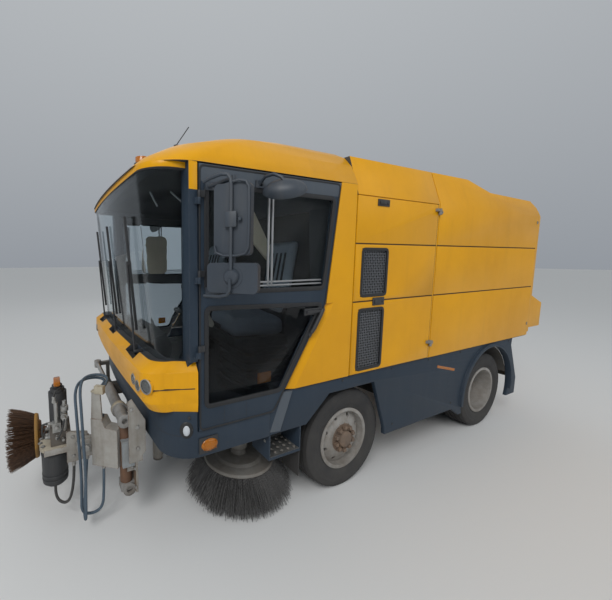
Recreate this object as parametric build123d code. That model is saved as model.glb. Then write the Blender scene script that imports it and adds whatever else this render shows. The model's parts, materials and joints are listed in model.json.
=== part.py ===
from build123d import *
import math
import os

# Compact street sweeper truck, in millimetres. The front faces -Y, the left side is +X, Z is up.
# Every Y below is measured from the front axle, every Z from the ground. The frame's origin lies
# ORIGIN_BEHIND_AXLE behind the front axle, on the ground, in the middle of the whole machine.

# Overall sizes
HALF_WIDTH = 1050.0
WHEELBASE = 2006.0
REAR_OVERHANG = 1044.0
REAR_REACH = WHEELBASE + REAR_OVERHANG
DISCHARGE_DEPTH = 305.0
HOPPER_REAR = REAR_REACH - DISCHARGE_DEPTH
RUN_CLEAR = 0.3
PANEL_GAP = 6.0
CUT_IN = HALF_WIDTH - 150
CUT_OUT = HALF_WIDTH + 150
FIT = 0.3

# Wheels
TYRE_R = 383.5
TYRE_WIDTH = 215.0
BEAD_R = 222.0
FLANGE_R = 235.0
BEAD_HALF = 90.0
TRACK_HALF = 892.5
TWIN_GAP = 30.0
TWIN_INNER = TRACK_HALF - TYRE_WIDTH - TWIN_GAP
HUB_BORE_R = 30.0
KINGPIN_X = 690.0
KINGPIN_R = 22.0

# Chassis
RAIL_IN = 300.0
RAIL_OUT = 380.0
RAIL_LOW = 480.0
RAIL_TOP = 640.0
RAIL_FRONT = -1380.0
RAIL_REAR = HOPPER_REAR - 90
REAR_BEAM_Y = RAIL_REAR - 75

# Cab
CAB_FLOOR_LOW = 700.0
CAB_FLOOR_TOP = 740.0
CAB_BACK = -60.0
CAB_WALL_X = HALF_WIDTH - 42
ARCH_IN = 610.0
ARCH_FRONT = -500.0
ARCH_TOP = 835.0
DOOR_FRONT = -1233.0
DOOR_LOW = 778.0
DOOR_TOP = 2222.0
WAIST_Z = 1440.0
WAIST_Y = -306.0
DOOR_HEEL_Y = -715.0
DOOR_TOP_REAR = -209.0
ROOF_SEAT = 2230.0
GLASS_LOW_Z = 1165.0
GLASS_TOP_Z = 2200.0
GLASS_LOW_FRONT = -1441.0
GLASS_TOP_FRONT = -1525.0
GLASS_HALF = HALF_WIDTH - 105
GLASS_T = 8.0
GLASS_LOW_CORNER = 115.0
GLASS_TOP_CORNER = 170.0
FRONT_BOW = 25.0
REAR_WINDOW_HALF = 620.0
REAR_WINDOW_LOW = 1500.0
REAR_WINDOW_TOP = 2080.0
PILLAR_IN = GLASS_HALF - 40
PILLAR_REAR = -1240.0
PILLAR_FRONT = -1288.0
BUMPER_LOW = 895.0
BUMPER_CREASE = 1122.0
BUMPER_TOP = 1172.0
BUMPER_FRONT = -1550.0
SKIRT_LOW = 620.0
APRON_FRONT = -1440.0
APRON_HALF = HALF_WIDTH - 10
APRON_CORNER = 200.0
APRON_T = 30.0

# Yellow body behind the cab
BODY_LOW = 900.0
LOWER_CREASE = 1432.0
UPPER_CREASE = 1839.0
SHOULDER_Z = 2172.0
ROOF_EDGE_Z = 2437.0
ROOF_EDGE_X = HALF_WIDTH - 85
ROOF_CROWN_Z = 2455.0
BODY_WALL = 38.0
MID_FRONT = -48.0
MID_REAR = 908.0
BULKHEAD = 12.0
HOPPER_FRONT = 918.0
TIP_Y = HOPPER_REAR - 105
TIP_Z = 870.0
TIP_PIN_R = 20.0
TAILGATE_T = 36.0
TAILGATE_FRONT = HOPPER_REAR + 5
TAILGATE_HINGE_Y = TAILGATE_FRONT + TAILGATE_T + 8
HOPPER_EDGE_Z = 2262.0
TAILGATE_HINGE_Z = HOPPER_EDGE_Z

# Side skirts
SKIRT_TOP = 893.0
SKIRT_OUT = HALF_WIDTH - 14
SKIRT_T = 32.0
SKIRT_IN = SKIRT_OUT - SKIRT_T
STEP_DEPTH = 186.0
SKIRT_REAR = REAR_BEAM_Y + 56
ARCH_R = 470.0

# Side brushes
BRUSH_X = 610.0
BRUSH_Y = -700.0
BRUSH_DISC_R = 262.0
BRUSH_TIP_R = 418.0
BRUSH_DISC_Z = 235.0
BRUSH_TIP_Z = 18.0
ARM_PIVOT_X = 440.0
ARM_PIVOT_Y = -1290.0

# Front brush unit
MAST_X = 620.0
MAST_Y = -1560.0
MAST_R = 20.0
MAST_LOW = 314.0
MAST_TOP = 695.0
BARREL_R = 38.0
ARM_TURN = -39.0
ARM_NEAR = 69.0
ARM_DEEP = 80.0
ARM_START = 38.0
ARM_END = 197.0
ARM_LOW = 430.0
ARM_TOP = 740.0
RAM_Y = -1575.0
RAM_Z = 752.0
RAM_R = 38.0
TILT_Y = -1790.0
TILT_Z = 545.0
TILT_PIN_R = 16.0
TILT_EYE_R = 40.0
POT_X = 350.0
POT_Y = -1972.0
POT_R = 78.0
POT_LOW = 262.0
SHELF_Z = 505.0
SHELF_T = 40.0
NOSE_X = 120.0
NOSE_Z = 490.0
NOSE_DISC_Y = -2075.0
NOSE_DISC_R = 150.0
NOSE_TIP_R = 215.0
NOSE_TINE = 180.0
TUFT_TIP_T = 30.0
HOSE_R = 9.0

# The front brush's tips reach furthest forward; the origin lies midway between them and the rear
NOSE_SPLAY = NOSE_TIP_R - NOSE_DISC_R
FRONT_REACH = NOSE_TINE - NOSE_DISC_Y + TUFT_TIP_T / 2 * NOSE_SPLAY / math.hypot(NOSE_SPLAY, NOSE_TINE)
ORIGIN_BEHIND_AXLE = (REAR_REACH - FRONT_REACH) / 2


# Helpers
def block(x0, x1, y0, y1, z0, z1):
    middle = ((x0 + x1) / 2, (y0 + y1) / 2, (z0 + z1) / 2)
    return Pos(*middle) * Box(x1 - x0, y1 - y0, z1 - z0)


def side_prism(points, x0, x1):
    """A (y, z) outline, x0 to x1."""
    face = make_face(Polyline(*points, close=True))
    return extrude(Plane.YZ.offset(x0) * face, amount=x1 - x0)


def front_prism(points, y0, y1):
    """An (x, z) outline, y0 to y1."""
    face = make_face(Polyline(*points, close=True))
    return extrude(Plane.XZ.offset(-y1) * face, amount=y1 - y0)


def rod(start, end, radius):
    start, end = Vector(*start), Vector(*end)
    along = end - start
    plane = Plane(origin=start, z_dir=along)
    return plane * Cylinder(radius, along.length, align=(Align.CENTER, Align.CENTER, Align.MIN))


def pipe(start, end, radius, bore):
    return rod(start, end, radius) - rod(start, end, bore)


def other_side(shape):
    return mirror(shape, about=Plane.YZ)


def pair(shape):
    return Compound(children=[solid for side in (shape, other_side(shape)) for solid in side.solids()])


def merge(first, *others):
    whole = first
    for shape in others:
        whole = whole + shape
    return whole


def cab_outline(z, front, half, corner, back, bow=FRONT_BOW, taper=0.0):
    """The cab's plan: straight or tapering sides, rounded front corners and a slightly bowed front."""
    flank = front + bow
    share = 1 - math.sqrt(0.5)
    side = half - taper
    edges = [
        Line((-half, back), (-side, flank + corner)),
        ThreePointArc((-side, flank + corner), (-side + share * corner, flank + share * corner),
                      (-side + corner, flank)),
        ThreePointArc((-side + corner, flank), (0, front), (side - corner, flank)),
        ThreePointArc((side - corner, flank), (side - share * corner, flank + share * corner),
                      (side, flank + corner)),
        Line((side, flank + corner), (half, back)),
        Line((half, back), (-half, back)),
    ]
    return Pos(0, 0, z) * make_face(edges)


def cab_stack(levels, back, inset=0.0, taper=0.0):
    """Levels of (z, front, half width, corner radius), joined by ruled walls."""
    sections = [cab_outline(z, front + inset, half - inset, max(corner - inset, 30), back, taper=taper)
                for z, front, half, corner in levels]
    return loft(sections, ruled=True)


def hinge(at, axis, radius, length, to_fixed, to_leaf, tab=10.0):
    """A pin hinge centred on a point: the fixed half with its pin, and the leaf's half with its eye."""
    at, axis = Vector(*at), Vector(*axis)
    low, high = at - axis * (length / 2), at + axis * (length / 2)
    split = RUN_CLEAR / 2
    pin_r = radius * 0.5
    fixed = merge(
        rod(low, at - axis * split, radius),
        rod(at - axis * split, high, pin_r),
        to_fixed - rod(at - axis * split, high + axis, radius + 1),
    )
    leaf = merge(
        rod(at + axis * split, high, radius),
        to_leaf - rod(low - axis, at + axis * split, radius + 1),
    ) - rod(low - axis, high + axis, pin_r + RUN_CLEAR)
    return fixed, leaf


# Wheels, each about its own centre with the outer face towards +X
def tyre_shape():
    half = TYRE_WIDTH / 2
    bead = BEAD_R + RUN_CLEAR
    profile = [
        (-BEAD_HALF + 1, bead), (-BEAD_HALF + 1, FLANGE_R + 2), (-half, bead + 62), (-half, TYRE_R - 62),
        (-half + 22, TYRE_R - 10), (-half + 48, TYRE_R), (half - 48, TYRE_R), (half - 22, TYRE_R - 10),
        (half, TYRE_R - 62), (half, bead + 62), (BEAD_HALF - 1, FLANGE_R + 2), (BEAD_HALF - 1, bead),
        (BEAD_HALF - 26, bead), (half - 20, bead + 60),
        (half - 26, TYRE_R - 45), (-half + 26, TYRE_R - 45), (-half + 20, bead + 60), (-BEAD_HALF + 26, bead),
    ]
    face = make_face(Polyline(*profile, close=True))
    return revolve(Plane.XY * face, axis=Axis.X)


def rim_barrel(x0, x1):
    """A rim's barrel with its two flanges."""
    lip = 8.0
    profile = [
        (x0, BEAD_R - 12), (x1, BEAD_R - 12), (x1, FLANGE_R), (x1 - lip, FLANGE_R), (x1 - lip, BEAD_R),
        (x0 + lip, BEAD_R), (x0 + lip, FLANGE_R), (x0, FLANGE_R),
    ]
    return revolve(Plane.XY * make_face(Polyline(*profile, close=True)), axis=Axis.X)


def front_rim_shape():
    """Barrel, bulged disc with hand holes, stud ring and hub cap."""
    reach = BEAD_HALF + 8
    disc = [
        (30, BEAD_R - 8), (42, BEAD_R - 8), (78, 150), (88, 110), (88, 66), (118, 60), (126, 40),
        (126, 0), (116, 0), (116, 34), (108, 50), (76, 58), (74, 104), (64, 142),
    ]
    hub = pipe((-70, 0, 0), (90, 0, 0), 70, HUB_BORE_R + RUN_CLEAR)
    wheel = merge(
        rim_barrel(-reach, reach),
        revolve(Plane.XY * make_face(Polyline(*disc, close=True)), axis=Axis.X),
        hub,
    )
    for i in range(8):
        turn = Rot(math.degrees(math.tau * (i + 0.5) / 8), 0, 0)
        wheel -= turn * rod((0, 0, 172), (120, 0, 172), 15)
    for i in range(10):
        turn = Rot(math.degrees(math.tau * i / 10), 0, 0)
        wheel += turn * rod((80, 0, 88), (106, 0, 88), 11)
    return wheel


def rear_rim_shape():
    """The twin wheel: two barrels on one deep disc, with its hub; x from the outer tyre's middle."""
    reach = BEAD_HALF + 8
    second = TWIN_INNER - TRACK_HALF
    disc = [
        (-128, BEAD_R - 6), (-114, BEAD_R - 6), (-96, 150), (-96, 80), (-20, 66), (-10, 50), (-10, 0),
        (-22, 0), (-22, 40), (-112, 70), (-112, 150),
    ]
    hub = pipe((second - 40, 0, 0), (-20, 0, 0), 66, 40 + RUN_CLEAR)
    wheel = merge(
        rim_barrel(-reach, reach),
        rim_barrel(second - reach, second + reach),
        pipe((second + reach, 0, 0), (-reach, 0, 0), BEAD_R - 1, BEAD_R - 12),
        revolve(Plane.XY * make_face(Polyline(*disc, close=True)), axis=Axis.X),
        hub,
    )
    for i in range(10):
        turn = Rot(math.degrees(math.tau * i / 10), 0, 0)
        wheel += turn * rod((-98, 0, 112), (-74, 0, 112), 11)
    return wheel


def at_wheel(shape, x, y):
    return Pos(x, y, TYRE_R) * shape


# Chassis and axles
def chassis_side():
    """The left rail with its outriggers, body posts, the hopper's tip ear and the side brush's post."""
    rail = block(RAIL_IN, RAIL_OUT, RAIL_FRONT, RAIL_REAR - 15, RAIL_LOW, RAIL_TOP)
    outrigger = merge(
        block(RAIL_OUT, SKIRT_IN, 560, 620, RAIL_TOP - 80, RAIL_TOP),
        block(RAIL_OUT, SKIRT_IN, 1300, 1360, RAIL_TOP - 80, RAIL_TOP),
        block(RAIL_OUT, SKIRT_IN, REAR_BEAM_Y - 20, REAR_BEAM_Y + 20, 440, 540),
        block(RAIL_IN, RAIL_OUT, REAR_BEAM_Y - 20, REAR_BEAM_Y + 20, 440, RAIL_LOW),
        block(RAIL_OUT, KINGPIN_X + 200, -1340, -1290, RAIL_TOP - 60, RAIL_TOP),
    )
    post = merge(
        block(RAIL_IN, RAIL_OUT, -1330, -1250, RAIL_TOP, CAB_FLOOR_LOW),
        block(RAIL_IN, RAIL_OUT, -180, -100, RAIL_TOP, CAB_FLOOR_LOW),
        block(RAIL_IN, RAIL_OUT, MID_FRONT, MID_FRONT + 60, RAIL_TOP, BODY_LOW),
        block(RAIL_IN, RAIL_OUT, MID_REAR - 60, MID_REAR, RAIL_TOP, BODY_LOW),
        block(RAIL_IN, RAIL_OUT, 1300, 1360, RAIL_TOP, BODY_LOW - FIT),
    )
    ear = merge(
        block(RAIL_IN, RAIL_IN + 40, TIP_Y - 60, TIP_Y + 12, RAIL_TOP, TIP_Z),
        rod((RAIL_IN, TIP_Y, TIP_Z), (RAIL_IN + 40, TIP_Y, TIP_Z), 24),
        rod((RAIL_IN + 40, TIP_Y, TIP_Z), (RAIL_OUT + 4, TIP_Y, TIP_Z), TIP_PIN_R),
    )
    brush_post = merge(
        block(RAIL_OUT, ARM_PIVOT_X + 30, ARM_PIVOT_Y - 30, ARM_PIVOT_Y + 30, RAIL_LOW, RAIL_LOW + 60),
        rod((ARM_PIVOT_X, ARM_PIVOT_Y, 290), (ARM_PIVOT_X, ARM_PIVOT_Y, RAIL_LOW), 18),
        rod((ARM_PIVOT_X, ARM_PIVOT_Y, 275), (ARM_PIVOT_X, ARM_PIVOT_Y, 290), 34),
    )
    return merge(rail, outrigger, post, ear, brush_post)


def chassis_frame():
    """Two rails, the cross members set between them, and the rear beam with its tow eye."""
    cross_y = (RAIL_FRONT + 40, -560, 60, 1250, WHEELBASE - 526, REAR_BEAM_Y - 80)
    cross = [block(-RAIL_IN, RAIL_IN, y - 30, y + 30, RAIL_LOW + 20, RAIL_TOP - 20) for y in cross_y]
    tow = merge(
        block(-RAIL_IN, RAIL_IN, REAR_BEAM_Y - 20, REAR_BEAM_Y + 20, 440, 540),
        block(-60, 60, REAR_BEAM_Y - 100, REAR_BEAM_Y + 20, 440, 500),
        block(-60, 60, REAR_BEAM_Y + 20, REAR_BEAM_Y + 110, 455, 480),
    )
    tow -= rod((0, REAR_BEAM_Y + 75, 400), (0, REAR_BEAM_Y + 75, 560), 20)
    side = chassis_side()
    parts = [side, other_side(side), *cross, tow]
    return Compound(children=[solid for shape in parts for solid in shape.solids()])


def leaf_spring(y):
    """One pack with its hangers, up to the rail's underside."""
    return merge(
        block(RAIL_IN + 8, RAIL_OUT - 8, y - 420, y + 420, 448, 466),
        block(RAIL_IN + 8, RAIL_OUT - 8, y - 420, y - 390, 448, RAIL_LOW),
        block(RAIL_IN + 8, RAIL_OUT - 8, y + 390, y + 420, 448, RAIL_LOW),
        block(RAIL_IN + 8, RAIL_OUT - 8, y - 260, y + 260, 432, 448),
        block(RAIL_IN, RAIL_OUT, y - 60, y + 60, TYRE_R, 432),
    )


def front_axle():
    beam = block(-640, 640, -42, 42, 330, 430)
    end = merge(
        block(600, 640, -42, 42, 262, 505),
        block(640, KINGPIN_X + 42, -42, 42, 262, 286),
        block(640, KINGPIN_X + 42, -42, 42, 481, 505),
        rod((KINGPIN_X, 0, 270), (KINGPIN_X, 0, 500), KINGPIN_R),
        leaf_spring(0),
    )
    return merge(beam, end, other_side(end))


def rear_axle():
    tube = rod((-560, WHEELBASE, TYRE_R), (560, WHEELBASE, TYRE_R), 55)
    spindle = rod((560, WHEELBASE, TYRE_R), (850, WHEELBASE, TYRE_R), 40)
    outline = [(-120, 0), (-120, 62), (-70, 118), (70, 118), (120, 62), (120, 0)]
    casing = revolve(Plane.XY * make_face(Polyline(*outline, close=True)), axis=Axis.X)
    casing = Pos(0, WHEELBASE, TYRE_R) * casing
    nose = rod((0, WHEELBASE - 230, TYRE_R + 20), (0, WHEELBASE, TYRE_R), 60)
    end = merge(spindle, leaf_spring(WHEELBASE))
    return merge(tube, casing, nose, end, other_side(end))


def knuckle():
    barrel = pipe((KINGPIN_X, 0, 286 + RUN_CLEAR), (KINGPIN_X, 0, 481 - RUN_CLEAR), 44, KINGPIN_R + RUN_CLEAR)
    spindle = rod((KINGPIN_X + 36, 0, TYRE_R), (TRACK_HALF + 60, 0, TYRE_R), HUB_BORE_R)
    flange = rod((KINGPIN_X + 40, 0, TYRE_R), (KINGPIN_X + 70, 0, TYRE_R), 60)
    steering_arm = block(KINGPIN_X - 20, KINGPIN_X + 20, 30, 190, 300, 322)
    whole = merge(barrel, spindle, flange, steering_arm)
    return whole - rod((KINGPIN_X, 0, 200), (KINGPIN_X, 0, 560), KINGPIN_R + RUN_CLEAR)


def engine_block():
    block_half = 270
    engine = block(-block_half, block_half, 140, 780, 560, 1250)
    for y in (200, 700):
        foot = block(block_half, RAIL_IN, y - 40, y + 40, RAIL_TOP - 60, RAIL_TOP - 20)
        engine = merge(engine, foot, other_side(foot))
    return engine


# Cab
def door_outline():
    """The door in (y, z), from its front foot."""
    return [
        (DOOR_FRONT, DOOR_LOW), (DOOR_HEEL_Y, DOOR_LOW), (WAIST_Y, WAIST_Z),
        (DOOR_TOP_REAR, DOOR_TOP), (DOOR_FRONT, DOOR_TOP),
    ]


def door_panes():
    """The upper and the lower window openings in (y, z)."""
    frame = 42.0
    rise = (DOOR_TOP_REAR - WAIST_Y) / (DOOR_TOP - WAIST_Z)
    heel = (WAIST_Y - DOOR_HEEL_Y) / (WAIST_Z - DOOR_LOW)

    def rear_edge(z):
        return WAIST_Y + (z - WAIST_Z) * (rise if z > WAIST_Z else heel) - frame

    front = DOOR_FRONT + frame
    upper = [(front, 1555), (rear_edge(1555), 1545), (rear_edge(2120), 2120), (front, 2120)]
    lower = [(front, 915), (rear_edge(915), 915), (rear_edge(1440), 1440), (front, 1470)]
    return upper, lower


TOE_FRONT = APRON_FRONT + APRON_T + 6
TOE_WALL = 36.0
DASH_FRONT = TOE_FRONT + TOE_WALL + 4.5


def cab_frame():
    """Floor, foot wall, windscreen pillars and header, and the rear wall."""
    floor = extrude(cab_outline(CAB_FLOOR_LOW, APRON_FRONT + APRON_T + 4, CAB_WALL_X - 8, 165, CAB_BACK),
                    amount=CAB_FLOOR_TOP - CAB_FLOOR_LOW)
    toe = extrude(cab_outline(CAB_FLOOR_TOP, TOE_FRONT, GLASS_HALF + 1, 116, PILLAR_REAR),
                  amount=BUMPER_LOW + 15 - CAB_FLOOR_TOP)
    toe -= extrude(cab_outline(CAB_FLOOR_TOP - 1, TOE_FRONT + TOE_WALL, PILLAR_IN, 90, PILLAR_REAR + 1), amount=500)
    foot = extrude(cab_outline(BUMPER_LOW + 5, GLASS_LOW_FRONT - 1, GLASS_HALF + 1, 116, PILLAR_REAR),
                   amount=GLASS_LOW_Z - BUMPER_LOW - 5)
    foot -= extrude(cab_outline(BUMPER_LOW + 4, TOE_FRONT + 20, PILLAR_IN, 90, PILLAR_REAR + 1), amount=500)
    apron_room = extrude(cab_outline(CAB_FLOOR_LOW, APRON_FRONT + APRON_T + FIT, APRON_HALF - APRON_T - FIT,
                                     APRON_CORNER - APRON_T, CAB_BACK), amount=BUMPER_LOW - CAB_FLOOR_LOW)
    pillar_x = APRON_HALF - APRON_T - FIT
    pillar = merge(
        block(PILLAR_IN, pillar_x, PILLAR_FRONT, PILLAR_REAR, CAB_FLOOR_LOW, BUMPER_LOW) & apron_room,
        block(PILLAR_IN, pillar_x, PILLAR_FRONT, PILLAR_REAR, BUMPER_LOW, BUMPER_TOP + 8),
        block(PILLAR_IN + 30, HALF_WIDTH - 6, PILLAR_FRONT, PILLAR_REAR, BUMPER_TOP + 8, ROOF_SEAT),
        block(CAB_WALL_X - 48, CAB_WALL_X - 6, PILLAR_REAR, CAB_BACK, ROOF_SEAT - 45, ROOF_SEAT),
        block(CAB_WALL_X - 48, CAB_WALL_X - 6, PILLAR_REAR, CAB_BACK, CAB_FLOOR_TOP, CAB_FLOOR_TOP + 50),
    )
    header = extrude(cab_outline(GLASS_TOP_Z, GLASS_TOP_FRONT - 5, CAB_WALL_X - 8, 175, PILLAR_FRONT),
                     amount=ROOF_SEAT - GLASS_TOP_Z)
    header -= extrude(cab_outline(GLASS_TOP_Z - 1, GLASS_TOP_FRONT + 85, PILLAR_IN - 5, 110, PILLAR_FRONT + 1), amount=100)
    rear = block(-SKIRT_IN + 2, SKIRT_IN - 2, CAB_BACK - 45, CAB_BACK, CAB_FLOOR_LOW, ROOF_SEAT)
    rear -= block(-REAR_WINDOW_HALF, REAR_WINDOW_HALF, CAB_BACK - 46, CAB_BACK + 1, REAR_WINDOW_LOW, REAR_WINDOW_TOP)
    arch = block(ARCH_IN, SKIRT_IN - 2, ARCH_FRONT, CAB_BACK, CAB_FLOOR_LOW, ARCH_TOP)
    arch_hollow = block(ARCH_IN + 10, SKIRT_IN, ARCH_FRONT + 10, CAB_BACK + 1, CAB_FLOOR_LOW - 1, ARCH_TOP - 10)
    frame = merge(floor, toe, foot, pillar, other_side(pillar), header, rear, arch, other_side(arch))
    return frame - arch_hollow - other_side(arch_hollow)


def cab_pillars():
    """The two painted panels behind the doors."""
    gap = PANEL_GAP
    heel = (WAIST_Y - DOOR_HEEL_Y) / (WAIST_Z - DOOR_LOW)
    foot_y = WAIST_Y + gap - (WAIST_Z - BODY_LOW) * heel
    outline = [
        (foot_y, BODY_LOW), (WAIST_Y + gap, WAIST_Z), (DOOR_TOP_REAR + gap, ROOF_SEAT),
        (CAB_BACK + 4, ROOF_SEAT), (CAB_BACK + 4, BODY_LOW),
    ]
    return pair(side_prism(outline, CAB_WALL_X, HALF_WIDTH))


ROOF_LEVELS = [
    # z, front, half width, corner radius
    (ROOF_SEAT, -1545, HALF_WIDTH, 300),
    (2290, -1475, HALF_WIDTH - 24, 300),
    (2360, -1345, HALF_WIDTH - 58, 300),
    (2430, -1135, HALF_WIDTH - 118, 300),
    (2480, -885, HALF_WIDTH - 208, 300),
    (2505, -600, HALF_WIDTH - 350, 260),
]


def cab_roof():
    wall = 34.0
    outer = cab_stack(ROOF_LEVELS, CAB_BACK + 4)
    inner_levels = [(z - wall * (i > 0) - 2 * (i == 0), front, half, corner)
                    for i, (z, front, half, corner) in enumerate(ROOF_LEVELS)]
    inner = cab_stack(inner_levels, CAB_BACK - 40, inset=wall)
    return outer - inner


def windscreen():
    """The bowed windscreen, leaning forward, with its corners wrapped round to the pillars."""
    def shape(inset, over):
        return loft([
            cab_outline(GLASS_LOW_Z - over, GLASS_LOW_FRONT + inset, GLASS_HALF - inset,
                        GLASS_LOW_CORNER - inset, PILLAR_FRONT + over),
            cab_outline(GLASS_TOP_Z + over, GLASS_TOP_FRONT + inset, GLASS_HALF - inset,
                        GLASS_TOP_CORNER - inset, PILLAR_FRONT + over),
        ], ruled=True)
    return shape(0, 0) - shape(GLASS_T, 1)


BUMPER_LEVELS = [
    # z, front, half width, corner radius
    (BUMPER_LOW, BUMPER_FRONT + 46, HALF_WIDTH - 4, 115),
    (948, BUMPER_FRONT + 12, HALF_WIDTH, 115),
    (1028, BUMPER_FRONT + 10, HALF_WIDTH, 115),
    (1034, BUMPER_FRONT - 2, HALF_WIDTH, 115),
    (BUMPER_CREASE, BUMPER_FRONT, HALF_WIDTH, 115),
    (BUMPER_TOP, BUMPER_FRONT + 60, HALF_WIDTH - 36, 115),
]
BUMPER_TAPER = 65.0
BUMPER_WALL = 32.0
WIPER_X = (-600.0, -50.0, 600.0)
POCKET_HALF = 100.0
HEAD_LAMPS = [
    # x, y, z, radius, turn outwards
    (HALF_WIDTH - 118, -1500, 1046, 40, 26),
    (HALF_WIDTH - 198, -1524, 1026, 28, 9),
    (HALF_WIDTH - 274, -1530, 1040, 28, 4),
]
LAMP_DEPTH = 46.0
MARKER_Z = 688.0
OVAL_LAMP_Z = 789.0
REAR_LAMP_Z = 490.0


def head_lamp(x, y, z, radius, turn, depth):
    """A round lamp's body, its axis level and turned outwards."""
    out = Vector(math.sin(math.radians(turn)), -math.cos(math.radians(turn)), 0)
    face = Vector(x, y, z) + out * 2
    return rod(face - out * depth, face, radius)


def front_bumper():
    outer = cab_stack(BUMPER_LEVELS, PILLAR_REAR - 2, taper=BUMPER_TAPER)
    low, crease, top = BUMPER_LEVELS[0], BUMPER_LEVELS[4], BUMPER_LEVELS[5]
    core = cab_stack([
        (low[0] - 1, low[1], low[2], low[3]),
        (crease[0] - 10, crease[1] + 10, crease[2], crease[3]),
        (top[0] - 30, top[1], top[2], top[3]),
    ], PILLAR_REAR, inset=BUMPER_WALL, taper=BUMPER_TAPER)
    glass_seat = extrude(cab_outline(BUMPER_TOP - 60, GLASS_LOW_FRONT - 2, GLASS_HALF + 2, GLASS_LOW_CORNER + 2,
                                     PILLAR_REAR), amount=100)
    pillar_seat = block(CUT_IN, APRON_HALF - APRON_T + FIT, PILLAR_FRONT - 1, PILLAR_REAR,
                        BUMPER_LOW - 2, BUMPER_TOP + 2)
    shell = outer - core - glass_seat - pillar_seat - other_side(pillar_seat)
    for x in WIPER_X:
        shell -= block(x - POCKET_HALF, x + POCKET_HALF, BUMPER_FRONT + 34, BUMPER_FRONT + 140,
                       BUMPER_CREASE + 4, BUMPER_TOP + 5)
    for x, y, z, radius, turn in HEAD_LAMPS:
        hole = head_lamp(x, y, z, radius + FIT, turn, LAMP_DEPTH + 40)
        collar = head_lamp(x, y, z, radius + 9, turn, 12)
        shell = shell + collar + other_side(collar)
        shell = shell - hole - other_side(hole)
        front_room = head_lamp(x, y, z, radius + FIT, turn, -30)
        shell = shell - front_room - other_side(front_room)
    return shell


def front_skirt():
    """The dark apron below the bumper, running back as sills under the doors."""
    inner_half = APRON_HALF - APRON_T
    outer = extrude(cab_outline(SKIRT_LOW, APRON_FRONT, APRON_HALF, APRON_CORNER, -742),
                    amount=BUMPER_LOW - SKIRT_LOW)
    inner = extrude(cab_outline(SKIRT_LOW - 1, APRON_FRONT + APRON_T, inner_half, APRON_CORNER - APRON_T, -741),
                    amount=400)
    apron = outer - inner
    doorway = block(CUT_IN, HALF_WIDTH, PILLAR_REAR - 2, -700, DOOR_LOW - PANEL_GAP, 1000)
    post = block(PILLAR_IN, inner_half, PILLAR_FRONT, PILLAR_FRONT + 40, SKIRT_LOW + 20, CAB_FLOOR_LOW)
    back = block(CAB_WALL_X - 108, inner_half, -790, -742, SKIRT_LOW, CAB_FLOOR_LOW)
    seats = merge(post, back) - inner_corner_cut()
    return merge(apron - doorway - other_side(doorway), seats, other_side(seats))


def inner_corner_cut():
    """What lies outside the apron's inner face near its corner."""
    around = block(CUT_IN - 100, HALF_WIDTH, -1500, -1200, SKIRT_LOW - 1, CAB_FLOOR_LOW + 1)
    return around - extrude(cab_outline(SKIRT_LOW - 1, APRON_FRONT + APRON_T / 2, APRON_HALF - APRON_T / 2,
                                        APRON_CORNER - APRON_T / 2, -742), amount=400)


def lamps():
    """Round front lamps in the bumper, oval and amber side lamps on the apron, and the rear clusters."""
    left = [head_lamp(x, y, z, radius, turn, LAMP_DEPTH) for x, y, z, radius, turn in HEAD_LAMPS]
    left.append(block(APRON_HALF, APRON_HALF + 14, -1232, -1120, MARKER_Z - 48, MARKER_Z + 47))
    oval = Pos(APRON_HALF - 36, -1300, OVAL_LAMP_Z) * Rot(0, 0, 58) * Rot(90, 0, 0)
    oval *= extrude(Ellipse(42, 26), amount=14, both=True)
    apron = extrude(cab_outline(SKIRT_LOW, APRON_FRONT - FIT, APRON_HALF + FIT, APRON_CORNER, -742), amount=300)
    left.append(oval - apron)
    left.append(block(700, 860, REAR_BEAM_Y + 20, SKIRT_REAR, REAR_LAMP_Z - 38, REAR_LAMP_Z + 38))
    both = [side for shape in left for side in (shape, other_side(shape))]
    return Compound(children=[solid for shape in both for solid in shape.solids()])


def seats():
    """Two suspension seats, each a base, a cushion and a slanted back in one side outline."""
    low = CAB_FLOOR_TOP + FIT
    outline = [
        (-620, low), (-260, low), (-260, 1125), (-228, 1130), (-150, 1890), (-175, 1920), (-215, 1915),
        (-320, 1250), (-700, 1255), (-725, 1215), (-700, 1125), (-620, 1125),
    ]
    return pair(side_prism(outline, 265, 590))


def console():
    """Dashboard, steering column and wheel."""
    dash = side_prism([(DASH_FRONT, CAB_FLOOR_TOP), (DASH_FRONT, 1120), (-1180, 1180), (-1120, 1060),
                       (-1240, CAB_FLOOR_TOP)], -330, 330)
    column = rod((480, -1230, CAB_FLOOR_TOP), (480, -960, 1290), 34)
    along = Vector(0, 270, 550).normalized()
    plane = Plane(origin=Vector(480, -960, 1290), z_dir=along)
    wheel = plane * Torus(195, 15)
    hub = plane * Cylinder(45, 50)
    spokes = plane * merge(Box(380, 34, 14), Box(34, 380, 14))
    foot = block(420, 540, -1300, -1180, CAB_FLOOR_TOP, CAB_FLOOR_TOP + 60)
    below = block(-1000, 1000, -2000, 0, 0, CAB_FLOOR_TOP + FIT)
    steering = merge(column, wheel, hub, spokes, foot) - below
    return Compound(children=[(dash - below).solid(), steering.solid()])


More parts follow.
